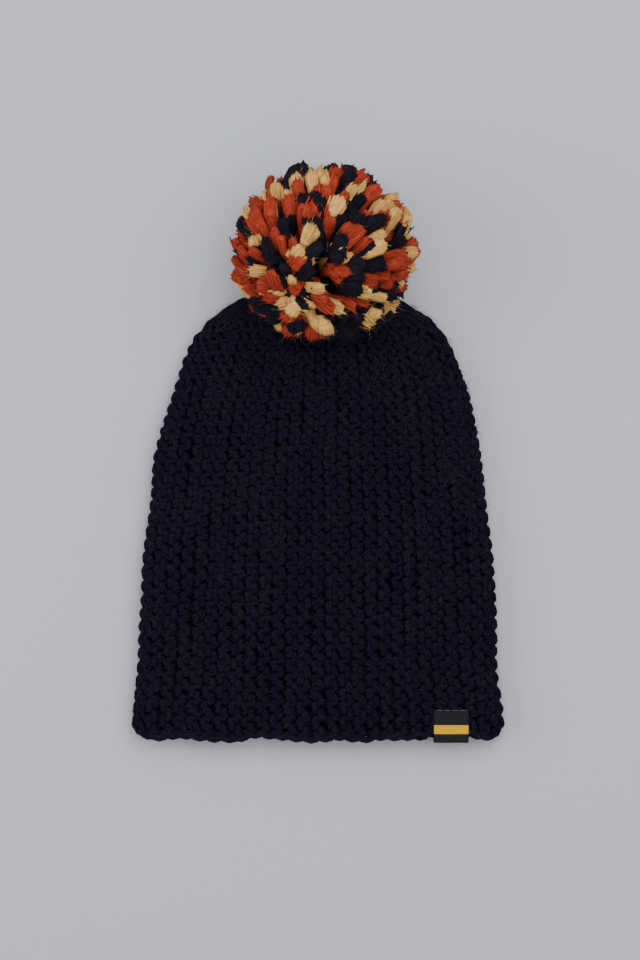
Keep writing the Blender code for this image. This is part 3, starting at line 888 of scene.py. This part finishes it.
# Each row is a yarn of the pompom. share: part of all bundles.
YarnShare = namedtuple("YarnShare", "name share")
POMPOM_YARNS = [YarnShare("rust", 0.28), YarnShare("cream", 0.22), YarnShare("navy", 0.50)]
# Bundles of strands that share a yarn: how they scatter, vary in length and lean, and how much
# less likely a bundle takes a yarn for each of its neighbours that has it.
BUNDLES = 340
BUNDLE_SCATTER = 0.06
BUNDLE_LENGTHS = 0.028
BUNDLE_STRAY = 0.48
BUNDLE_NEIGHBOURS = 4
NEIGHBOUR_WEIGHT = 0.42
# Single strands: their scatter, lean, length and girth as shares of the ball's or their own.
STRAND_SCATTER = 0.07
STRAND_STRAY = 0.25
STRAND_LENGTH = 0.945
STRAND_LENGTHS = 0.036
LENGTH_LIMITS = (0.80, 1.0)
STRAND_GIRTHS = (0.78, 1.18)
THICKNESS_SHARE = 0.62
TURN_IN = 0.45
SHADE_STRAY = 0.16
# Painted shade along each strand, between these shares of its curve: dark at the root, where the next
# petals lie over it, and light towards the tip.
SHADED = (0.62, 0.95)
BODY_SIDES = 9
# Strands start near the tie. Points that lie near it and low are kept clear of the crown, and a
# strand that would be moved further than BURIED is left out.
TIE_PAST_GATHER = 0.013
TIE_SCATTER = 0.002
NEAR_TIE = 0.02
NEAR_FLOOR = 0.06
CROWN_CLEARANCE = 0.0006
SKIN_CLEARANCE = 0.0003
BURIED = 0.0025
OUTER_RINGS = 4
# The petals, which part at a place over the ball's upper side and lean away from it.
PETAL_HEART = Vector((-0.012, 0.126, 0.100))
PETAL_LENGTH = 0.026
PETAL_LENGTHS = (0.8, 1.2)
PETAL_LEAN = 1.75
PETAL_LEANS = (0.6, 1.3)
PETAL_SWIRL = 0.5
PETAL_FALL = 0.5
HEART_SIZE = 0.38
HEART_SUNK = 0.06
HEART_PARTING = np.array((1.0, 0.25, 0.0))
LEAN_NEAR = 1.45
LEAN_REACH = 1.9
LEAN_LEAST = 0.15
# The wisps at a strand's end: shares of its half width or its length, and angles in radians.
WISP_SIDES = 4
WISP_SHARE = 0.23
WISP_GIRTHS = (0.78, 1.22)
WISP_ENDS = (0.970, 1.012)
WISP_CUT = 0.045
WISP_TURN = 0.12
WISP_WIND = 4
WISP_SPREAD = 0.14
WISP_FLATNESS = 0.75
# WISP_SIDE_SHADE: painted shade on the wisps at a strand's sides and underside, darker than those on
# top.
WISP_SIDE_SHADE = 0.34
# The loose fibres of a wisp: the last place along it, in rings, that they grow from, their
# radius and lengths, the share of them that isn't drawn out by LONG_FIBRE, and how they bend.
LAST_ROOT = 2.95
FIBRE_RADIUS = 0.00005
FIBRE_LENGTH = 0.0014
FIBRE_LENGTHS = 0.0026
LONG_FIBRE = 0.0035
SHORT_SHARE = 0.93
FIBRE_SPLAY = (0.15, 1.0)
FIBRE_CURL = (-0.4, 0.4)
FIBRE_ARC = 2.6


class Ball:
    """Where the pompom is: its middle and reach from the CAD node, its tie past the gather."""

    def __init__(self):
        low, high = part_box("pompom")
        self.reach = np.array((high - low) / 2)
        self.middle = np.array((low + high) / 2)
        self.heart = unit(np.array(PETAL_HEART) - self.middle)
        surface_lean = math.radians(SECTIONS[-1].tilt)
        gather = np.array((
            0.0,
            CROWN_LENGTH * (SECTIONS[-1].reach - 0.5),
            SECTIONS[-1].rise * FOLD_RADIUS,
        ))
        way = np.array((0.0, math.cos(surface_lean), math.sin(surface_lean)))
        self.tie = gather + TIE_PAST_GATHER * way
        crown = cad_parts["crown"].data
        self.crown = BVHTree.FromPolygons(
            [corner.co for corner in crown.vertices], [face.vertices[:] for face in crown.polygons]
        )

    def clear_of_crown(self, points, margin):
        """The points, with those in the crown or nearer than their margin moved out of it."""
        moved = points.reshape(-1, 3).copy()
        margins = np.broadcast_to(margin, points.shape[:-1]).ravel()
        near = (moved[:, 1] < self.tie[1] + NEAR_TIE) & (moved[:, 2] < NEAR_FLOOR)
        for i in np.flatnonzero(near):
            point = Vector(moved[i])
            place, normal, _, _ = self.crown.find_nearest(point)
            if (point - place).dot(normal) < margins[i]:
                moved[i] = np.array(place + normal * margins[i])
        return moved.reshape(points.shape)


def outside(path, clear):
    """True for the paths whose outer rings were moved by less than what counts as buried."""
    moved = np.linalg.norm(clear - path, axis=2)[:, -OUTER_RINGS:]
    return moved.max(axis=1) < BURIED


def even_ways(count):
    """Directions spread evenly over a ball."""
    i = np.arange(count)
    height = 1 - 2 * (i + 0.5) / count
    rim = np.sqrt(1 - height ** 2)
    turn = i * math.pi * (3 - math.sqrt(5))
    return np.stack((rim * np.cos(turn), rim * np.sin(turn), height), axis=1)


class Bundles:
    """Groups of neighbouring strands, which are of one yarn and lean one way."""

    def __init__(self, dice):
        self.ways = unit(even_ways(BUNDLES) + BUNDLE_SCATTER * dice.normal(size=(BUNDLES, 3)))
        self.stray = BUNDLE_STRAY * dice.normal(size=(BUNDLES, 3))
        self.length = dice.normal(0.0, BUNDLE_LENGTHS, BUNDLES)
        self.yarn = self.coloured(dice)

    def coloured(self, dice):
        """The yarn of each bundle: by its share, and less often that of the bundles beside it."""
        shares = column(POMPOM_YARNS, "share")
        yarns = np.full(BUNDLES, -1)
        for i in dice.permutation(BUNDLES):
            beside = np.argsort(-(self.ways @ self.ways[i]))[1:1 + BUNDLE_NEIGHBOURS]
            same = np.array([np.sum(yarns[beside] == k) for k in range(len(shares))])
            weight = shares * NEIGHBOUR_WEIGHT ** same
            yarns[i] = dice.choice(len(shares), p=weight / weight.sum())
        return yarns

    def of(self, ways):
        """The number of the bundle that each strand belongs to."""
        return np.argmax(ways @ self.ways.T, axis=1)


def petal_ways(ball, ways, stray, dice):
    """The way each strand's end points: out of the ball, and away from the heart of the petals."""
    from_heart = np.arccos(np.clip(ways @ ball.heart, -1, 1))
    away = unit(ways * (ways @ ball.heart)[:, None] - ball.heart)
    parted = share_within(from_heart, 0, HEART_SIZE)[:, None]
    sideways = dice.choice((-1.0, 1.0), len(ways))[:, None] * HEART_PARTING
    away = unit(away * parted + sideways * (1 - parted))
    upper = np.clip(0.5 + away[:, 1], 0, 1)[:, None]
    away = away + PETAL_SWIRL * upper * np.cross(away, ball.heart)
    away[:, 1] *= np.where(away[:, 1] < 0, PETAL_FALL, 1)
    away = unit(away)
    fading = np.clip(LEAN_NEAR - from_heart / LEAN_REACH, LEAN_LEAST, 1)
    lean = PETAL_LEAN * fading * dice.uniform(*PETAL_LEANS, len(ways))
    return unit(ways + away * lean[:, None] + stray)


class Strands:
    """The pompom's strands as curves from the tie, which lie over each other like petals."""

    def __init__(self, ball, sizes, dice):
        count = sizes.strands
        bundles = Bundles(dice)
        ways = unit(even_ways(count) + STRAND_SCATTER * dice.normal(size=(count, 3)))
        bundle = bundles.of(ways)
        self.yarn = bundles.yarn[bundle]
        self.radius = sizes.strand_radius * dice.uniform(*STRAND_GIRTHS, count)
        sunk = HEART_SUNK * np.exp(-(np.arccos(ways @ ball.heart) / HEART_SIZE) ** 2)
        length = dice.normal(STRAND_LENGTH, STRAND_LENGTHS, count) + bundles.length[bundle] - sunk
        length = length.clip(*LENGTH_LIMITS)
        self.tip = ball.middle + ways * ball.reach * length[:, None]
        stray = bundles.stray[bundle] + STRAND_STRAY * dice.normal(size=(count, 3))
        end_way = petal_ways(ball, ways, stray, dice)
        petal = PETAL_LENGTH * dice.uniform(*PETAL_LENGTHS, count)
        self.bend = self.tip - end_way * petal[:, None]
        self.start = ball.tie + TIE_SCATTER * dice.normal(size=(count, 3))
        self.turn_in = self.start + (self.bend - self.start) * TURN_IN
        flat = unit(np.cross(ways + 0.05 * dice.normal(size=(count, 3)), end_way))
        self.side = unit(flat + 0.2 * flat * dice.normal(size=(count, 3)))
        self.twist = dice.normal(0.15, 0.35, count)
        self.shade = dice.uniform(-SHADE_STRAY, SHADE_STRAY, count)
        self.kept = self.clear_strands(ball)

    def clear_strands(self, ball):
        """True for the strands whose outer parts lie outside the crown."""
        path, _, girth, _ = self.bodies()
        clear = ball.clear_of_crown(path, girth * THICKNESS_SHARE)
        return outside(path, clear)

    def curve(self, share):
        """Points of the strands' middle lines at shares (strand, ring) of the way to their tips."""
        t = share[..., None]
        return (
            (1 - t) ** 3 * self.start[:, None]
            + 3 * (1 - t) ** 2 * t * self.turn_in[:, None]
            + 3 * (1 - t) * t ** 2 * self.bend[:, None]
            + t ** 3 * self.tip[:, None]
        )

    def frames(self, share):
        """Points of the middle lines, and the ways to the strands' side and out of the ball."""
        middle = self.curve(share)
        ahead = unit(np.gradient(middle, axis=1))
        side = self.side[:, None]
        side = unit(side - ahead * np.sum(side * ahead, axis=-1, keepdims=True))
        return middle, side, np.cross(ahead, side)

    def bodies(self):
        """The strands' soft bodies: their points, the way out, half widths and shades."""
        along = column(BODY_RINGS, "along")
        middle, _, lift = self.frames(np.broadcast_to(along, (len(self.tip), len(along))))
        girth = self.radius[:, None] * column(BODY_RINGS, "girth")
        # Painted shade: darker at the root, lighter towards the tip.
        shade = self.shade[:, None] + np.interp(along, SHADED, (0.0, 0.68))
        return middle, lift, girth, shade

    def wisps(self, turn, reach, dice):
        """One wisp of every strand, some way round it: points, the way out, girths and shades."""
        count = len(self.tip)
        along = column(WISP_RINGS, "along")
        late = share_within(along, 0.5, 1.0)
        cut = (dice.uniform(*WISP_ENDS, count) - WISP_CUT * math.cos(turn) ** 2)[:, None]
        middle, side, lift = self.frames(along * (1 + (cut - 1) * late))
        turns = turn + WISP_TURN * dice.normal(size=count)
        turns = turns[:, None] + self.twist[:, None] * (along - along[0]) * WISP_WIND
        stray = 1 + WISP_SPREAD * dice.normal(size=(count, 1)) * late
        spread = reach * column(WISP_RINGS, "spread") * stray
        size = self.radius[:, None]
        across = (size * spread * np.cos(turns))[..., None]
        up = (size * THICKNESS_SHARE * spread * np.sin(turns))[..., None]
        away = side * across + lift * up
        girth = WISP_SHARE * size * column(WISP_RINGS, "girth")
        girth = girth * dice.uniform(*WISP_GIRTHS, count)[:, None]
        shade = self.shade + SHADE_STRAY * dice.normal(size=count)
        # Painted shade: wisps away from the strand's top are darker; along each wisp it lightens to a
        # painted highlight at the tip.
        shade = shade - WISP_SIDE_SHADE * (1 - math.sin(turn))
        shade = np.clip(shade[:, None] + np.interp(along, SHADED, (0.0, 0.85)), 0, 1)
        return middle + away, unit(away), girth, shade


def wisp_fibre_paths(path, girth, dice, each):
    """Paths of loose fibres that start along each wisp, most near its tip, and splay outwards."""
    pick = np.repeat(np.arange(len(path)), each)
    total = len(pick)
    place = dice.uniform(0.0, 1.0, total) ** 0.6 * LAST_ROOT
    low = place.astype(int)
    part = (place - low)[:, None]
    start = path[pick, low] * (1 - part) + path[pick, low + 1] * part
    ahead = unit(path[pick, -1] - path[pick, 0])
    aside = unit(np.cross(ahead, dice.normal(size=(total, 3))))
    skin = girth[pick, low] * (1 - part[:, 0]) + girth[pick, low + 1] * part[:, 0]
    start = start + aside * (0.8 * skin)[:, None]
    length = FIBRE_LENGTH + FIBRE_LENGTHS * dice.random(total) ** 2
    length = (length + LONG_FIBRE * (dice.random(total) > SHORT_SHARE))[:, None]
    share = np.linspace(0, 1, FIBRE_RINGS)
    splay = dice.uniform(*FIBRE_SPLAY, total)[:, None]
    curl = unit(np.cross(ahead, aside)) * dice.uniform(*FIBRE_CURL, total)[:, None]
    ways = ((length * share, ahead), (length * splay * share, aside),
            (length * np.sin(share * FIBRE_ARC), curl))
    paths = start[:, None] + sum(size[..., None] * way[:, None] for size, way in ways)
    return paths, np.repeat(aside[:, None], FIBRE_RINGS, axis=1)


class HAT_OT_tie_pompom(bpy.types.Operator):
    """Ties the pompom: strands of three yarns spread from the tie, with loose fibres at their tips"""

    bl_idname = "hat.tie_pompom"
    bl_label = "Tie the pompom"

    SEED = 23

    def execute(self, context):
        sizes = context.scene.hat_pompom
        dice = np.random.default_rng(self.SEED)
        ball = Ball()
        strands = Strands(ball, sizes, dice)
        bodies = strands.bodies()
        wisps = [
            strands.wisps(math.radians(turn), group.reach, dice)
            for group in WISP_GROUPS
            for turn in np.linspace(group.first, group.last, group.count)
        ]
        for number, yarn in enumerate(POMPOM_YARNS):
            mine = (strands.yarn == number) & strands.kept
            body = [part[mine] for part in bodies]
            locks = [np.concatenate([wisp[i][mine] for wisp in wisps]) for i in range(4)]
            self.add_yarn(sizes, yarn.name, body, locks, ball, dice)
        return {"FINISHED"}

    def add_yarn(self, sizes, name, body, locks, ball, dice):
        """Adds one yarn's strands, the wisps round them and their loose fibres, a piece each."""
        colour = tuple(getattr(sizes, name))
        yarn = roving_finish(f"{name}_yarn", colour)
        body_name, wisps_name = f"pompom_{name}", f"pompom_{name}_wisps"
        self.add_tubes(body_name, body, BODY_SIDES, THICKNESS_SHARE, yarn, ball, dice)
        path, girth = self.add_tubes(
            wisps_name, locks, WISP_SIDES, WISP_FLATNESS, yarn, ball, dice
        )
        if not sizes.fibres:
            return
        fibres, out = wisp_fibre_paths(path, girth, dice, sizes.fibres)
        moved = ball.clear_of_crown(fibres, CROWN_CLEARANCE)
        free = np.all(np.abs(moved - fibres) < 1e-9, axis=(1, 2))
        free = free & np.all(fibres[..., 2] > 0, axis=1)
        # The loose fibres' colour is a paler copy of the yarn's, partly a painted highlight.
        hair = fibre_finish(f"{name}_fibres", scaled(colour, 1.5, 0.02))
        tufts = add_fibres(f"pompom_{name}_fibres", fibres[free], out[free], FIBRE_RADIUS, hair)
        place_piece(tufts, "pompom")

    @staticmethod
    def add_tubes(name, parts, sides, flatness, yarn, ball, dice):
        """Adds tubes clear of the crown and the floor as one piece; gives their paths and girths."""
        path, out, girth, shade = parts
        clear = ball.clear_of_crown(path, girth * flatness + CROWN_CLEARANCE)
        kept = outside(path, clear)
        path, out, girth, shade = clear[kept], out[kept], girth[kept], shade[kept]
        path[..., 2] = np.maximum(path[..., 2], FLOOR_GAP + girth * flatness)
        tubes = Tubes(sides).add(path, out, girth, girth * flatness, shade)
        if sides > 2 * LOBES:
            tubes.add_lobes(path, dice)
        tubes.points = [ball.clear_of_crown(np.vstack(tubes.points), SKIN_CLEARANCE)]
        place_piece(tubes.build(name, yarn), "pompom")
        return path, girth


LABEL_LEAF = 0.0200
LABEL_COLUMNS = 15
LABEL_TURN_STEPS = 10
LABEL_LEAF_STEPS = 12
LABEL_INNER_STEPS = 6
# The reach of the label's turn as a share of half its height, its thickness and rounding, and how
# far its sides and its sewn edge sink, over a length from that edge.
LABEL_TURN_REACH = 0.55
LABEL_THICKNESS = 0.0005
LABEL_ROUNDING = 0.0001
EDGE_SINKS_OVER = 0.004
SIDE_SUNK = 0.0006
EDGE_SUNK = 0.0005
# The pitch of the weave's threads, and how far they stand out.
WEFT_PITCH = 0.00045
WARP_PITCH = 0.00055
WEAVE_RELIEF = 0.0002
# The stripe, and its place as a share of the outer leaf from its sewn edge.
STRIPE_WIDTH = 0.0055
STRIPE_PLACE = 0.62
# The stitches along the outer leaf's edge.
THREAD_RADIUS = 0.00017
THREAD_COLOUR = (0.13, 0.125, 0.15)
STITCH_RINGS = 6
STITCH_MARGIN = 0.001
STITCH_REACH = 0.36
STITCH_SET_BACK = 0.0004
STITCH_SUNK = 0.0002
STITCH_RISE = 0.00025


def label_finish(sizes):
    """Satin weave: fine ribs across the label, a woven stripe, and a slight unevenness."""
    finish = Finish("label_weave", 0.6, gloss=0.08)
    along, across, _ = finish.parts(finish.uv("yarn"))
    weft = (along * (math.tau / WEFT_PITCH)).wave()
    warp = (across * (math.tau / WARP_PITCH)).wave()
    stripe = (STRIPE_WIDTH / 2 - abs(along - LABEL_LEAF * STRIPE_PLACE)).above(0.0)
    uneven = finish.noise(finish.place(), 900.0, 2.0) * 0.5
    ground = finish.mixed(
        weft * 0.5 + uneven, scaled(sizes.ground, 0.6), scaled(sizes.ground, 1.3)
    )
    bright = finish.mixed(warp * 0.5 + uneven, scaled(sizes.stripe, 0.72), sizes.stripe)
    relief = weft * 0.6 + warp * 0.6 + stripe * 0.8
    finish.feed(
        Base_Color=finish.mixed(stripe, ground, bright),
        Normal=finish.bump(relief, WEAVE_RELIEF, 0.8),
    )
    return finish.material


def label_walk(low, high):
    """The label's path from the end of its outer leaf round the hem to the end of the inner one."""
    half = (high.z - low.z) / 2
    turn_y = low.y + half * LABEL_TURN_REACH
    turn = np.linspace(0, math.pi, LABEL_TURN_STEPS, endpoint=False)
    y = np.concatenate((
        np.linspace(high.y, turn_y, LABEL_LEAF_STEPS, endpoint=False),
        turn_y - (turn_y - low.y) * np.sin(turn),
        np.linspace(turn_y, high.y, LABEL_INNER_STEPS + 1),
    ))
    z = np.concatenate((
        np.full(LABEL_LEAF_STEPS, high.z),
        low.z + half + half * np.cos(turn),
        np.full(LABEL_INNER_STEPS + 1, low.z),
    ))
    return np.stack((y, z), axis=1)


class HAT_OT_sew_label(bpy.types.Operator):
    """Folds the woven label over the hem and sews it down along its edge"""

    bl_idname = "hat.sew_label"
    bl_label = "Sew the label"

    def execute(self, context):
        sizes = context.scene.hat_label
        low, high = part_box("label")
        walk = label_walk(low, high)
        walked = walked_along(walk)
        x = np.linspace(low.x, high.x, LABEL_COLUMNS)
        on_top = share_within(walk[:, 1], low.z, high.z)[:, None]
        from_edge = share_within(walked, 0, EDGE_SINKS_OVER)[:, None]
        pillow = np.sin(np.linspace(0, math.pi, LABEL_COLUMNS)) ** 0.5
        rise = -SIDE_SUNK * (1 - pillow)[None] * on_top * from_edge
        sewn = -EDGE_SUNK * (1 - from_edge) * on_top
        points = np.empty((len(walk), LABEL_COLUMNS, 3))
        points[..., 0] = x
        points[..., 1] = walk[:, :1]
        points[..., 2] = walk[:, 1:] + rise + sewn
        rows, columns = points.shape[:2]
        i, j = np.meshgrid(np.arange(rows - 1), np.arange(columns - 1), indexing="ij")
        corner = (i * columns + j).ravel()
        faces = np.stack((corner, corner + columns, corner + columns + 1, corner + 1), axis=1)
        uv = np.stack(np.meshgrid(walked, x, indexing="ij"), axis=-1).reshape(-1, 2)
        label = mesh_piece("label_strip", points.reshape(-1, 3), faces, label_finish(sizes), uv)
        thicken = label.modifiers.new("thickness", "SOLIDIFY")
        thicken.thickness = LABEL_THICKNESS
        thicken.offset = -1
        rounded = label.modifiers.new("edges", "BEVEL")
        rounded.width = LABEL_ROUNDING
        rounded.segments = 1
        with bpy.context.temp_override(object=label, active_object=label):
            bpy.ops.object.modifier_apply(modifier=thicken.name)
            bpy.ops.object.modifier_apply(modifier=rounded.name)
        place_piece(label, "label")
        stitches = self.sew(sizes, low, high)
        return {"FINISHED"}

    def sew(self, sizes, low, high):
        """Short pale stitches along the outer leaf's edge, as one piece."""
        gap = (high.x - low.x - 2 * STITCH_MARGIN) / sizes.stitches
        middles = low.x + STITCH_MARGIN + gap * (np.arange(sizes.stitches) + 0.5)
        share = np.linspace(-1, 1, STITCH_RINGS)
        paths = np.empty((sizes.stitches, STITCH_RINGS, 3))
        paths[..., 0] = middles[:, None] + share * gap * STITCH_REACH
        paths[..., 1] = high.y - STITCH_SET_BACK
        paths[..., 2] = high.z - STITCH_SUNK + STITCH_RISE * (1 - share ** 4)
        out = np.broadcast_to(np.array((0.0, 0.0, 1.0)), paths.shape)
        size = np.full(paths.shape[:2], THREAD_RADIUS) * (1 - 0.5 * share ** 6)
        tubes = Tubes(YARN_SIDES).add(paths, out, size, size, np.full(paths.shape[:2], 0.5))
        piece = tubes.build("label_stitches", fibre_finish("label_thread", THREAD_COLOUR))
        place_piece(piece, "label")
        return piece


TIE_RELIEF = 0.0004


class HAT_OT_finish_tie(bpy.types.Operator):
    """Gives the hidden tie cord its twisted yarn finish"""

    bl_idname = "hat.finish_tie"
    bl_label = "Finish the tie"

    def execute(self, context):
        finish = Finish("tie_yarn", 0.95, 0.3, (0.3, 0.3, 0.4))
        place = finish.place()
        x, y, z = finish.parts(place)
        plies = ((z + y) * 2400.0 + x * 1600.0).wave()
        fibres = finish.noise(place, 1400.0, 3.0)
        colour = context.scene.hat_knit.colour
        finish.feed(
            Base_Color=finish.mixed(plies * 0.6 + fibres * 0.4, scaled(colour, 0.4), colour),
            Normal=finish.bump(plies + fibres * 0.4, TIE_RELIEF),
        )
        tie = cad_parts["pompom_tie"]
        if not tie.material_slots:
            tie.data.materials.append(finish.material)
        for material_slot in tie.material_slots:
            material_slot.material = finish.material
        return {"FINISHED"}


FLOOR_DROP = 0.0004
FLOOR_SIZE = 6.0
SENSOR_LONG_SIDE = 0.036
CLIP_END = 20
LIGHT_AIM = Vector((0, 0.02, 0))
SKY_COLOUR = (0.95, 0.97, 1.0, 1.0)
SKY_STRENGTH = 0.55
# Each row is a square area light. power: share of the stage's light.
SoftLight = namedtuple("SoftLight", "name place size power")
SOFT_LIGHTS = [
    SoftLight("soft_top", (0.35, 0.40, 1.5), 1.5, 1.0),
    SoftLight("soft_side", (-1.1, 0.1, 0.9), 0.9, 0.35),
]


class HAT_OT_set_stage(bpy.types.Operator):
    """Lays the pale floor, hangs the soft lights and sets the camera straight above"""

    bl_idname = "hat.set_stage"
    bl_label = "Set the stage"

    def execute(self, context):
        sizes = context.scene.hat_stage
        bpy.ops.object.select_all(action="DESELECT")
        bpy.ops.mesh.primitive_plane_add(size=FLOOR_SIZE, location=(0, 0, -FLOOR_DROP))
        floor = context.active_object
        floor.name = "floor"
        finish = Finish("floor_paper", 0.9)
        grain = finish.noise(finish.place(), 900.0, 2.0)
        pale = tuple(sizes.floor)
        finish.feed(Base_Color=finish.mixed(grain, scaled(pale, 0.985), pale))
        floor.data.materials.append(finish.material)
        self.add_camera(context, sizes)
        for soft in SOFT_LIGHTS:
            self.add_light(soft, sizes.light * soft.power)
        world = bpy.data.worlds.new("studio")
        world.use_nodes = True
        sky = world.node_tree.nodes["Background"]
        sky.inputs["Color"].default_value = SKY_COLOUR
        sky.inputs["Strength"].default_value = SKY_STRENGTH
        context.scene.world = world
        return {"FINISHED"}

    @staticmethod
    def add_camera(context, sizes):
        """A camera that looks straight down on the photo's middle, at the photo's scale."""
        distance = sizes.camera_height - PHOTO_MIDDLE.z
        camera = bpy.data.cameras.new("photo_camera")
        camera.sensor_fit = "AUTO"
        camera.sensor_width = SENSOR_LONG_SIDE * 1000
        seen = PHOTO_HEIGHT_PIXELS / PIXELS_PER_METRE
        camera.lens = SENSOR_LONG_SIDE * distance / seen * 1000
        camera.clip_end = CLIP_END
        held = bpy.data.objects.new("photo_camera", camera)
        held.location = (PHOTO_MIDDLE.x, PHOTO_MIDDLE.y, sizes.camera_height)
        context.scene.collection.objects.link(held)
        context.scene.camera = held

    @staticmethod
    def add_light(soft, power):
        """A square area light at its place, turned towards the hat."""
        light = bpy.data.lights.new(soft.name, "AREA")
        light.shape = "SQUARE"
        light.size = soft.size
        light.energy = power
        held = bpy.data.objects.new(soft.name, light)
        held.location = soft.place
        aim = LIGHT_AIM - Vector(soft.place)
        held.rotation_euler = aim.to_track_quat("-Z", "Y").to_euler()
        bpy.context.scene.collection.objects.link(held)


class HAT_PT_panel(bpy.types.Panel):
    """Lists the hat's steps in the 3D view's sidebar"""

    bl_idname = "HAT_PT_panel"
    bl_label = "Bobble hat"
    bl_space_type = "VIEW_3D"
    bl_region_type = "UI"
    bl_category = "Bobble hat"

    def draw(self, context):
        for group in GROUPS:
            box = self.layout.box()
            settings = getattr(context.scene, group.name)
            for name in settings.bl_rna.properties.keys():
                if name not in ("rna_type", "name"):
                    box.prop(settings, name)
        for step in STEPS:
            self.layout.operator(step.bl_idname)


Group = namedtuple("Group", "name kind")
GROUPS = [
    Group("hat_knit", HatKnit),
    Group("hat_pompom", HatPompom),
    Group("hat_label", HatLabel),
    Group("hat_stage", HatStage),
]
STEPS = [
    HAT_OT_knit_crown,
    HAT_OT_tie_pompom,
    HAT_OT_finish_tie,
    HAT_OT_sew_label,
    HAT_OT_set_stage,
]


def register():
    for kind in [group.kind for group in GROUPS] + STEPS + [HAT_PT_panel]:
        bpy.utils.register_class(kind)
    for group in GROUPS:
        setattr(bpy.types.Scene, group.name, bpy.props.PointerProperty(type=group.kind))


def unregister():
    for group in GROUPS:
        delattr(bpy.types.Scene, group.name)
    for kind in [HAT_PT_panel] + STEPS[::-1] + [group.kind for group in GROUPS]:
        bpy.utils.unregister_class(kind)


def main():
    register()
    bpy.ops.hat.knit_crown()
    bpy.ops.hat.tie_pompom()
    bpy.ops.hat.finish_tie()
    bpy.ops.hat.sew_label()
    bpy.ops.hat.set_stage()


if __name__ == "__main__":
    main()
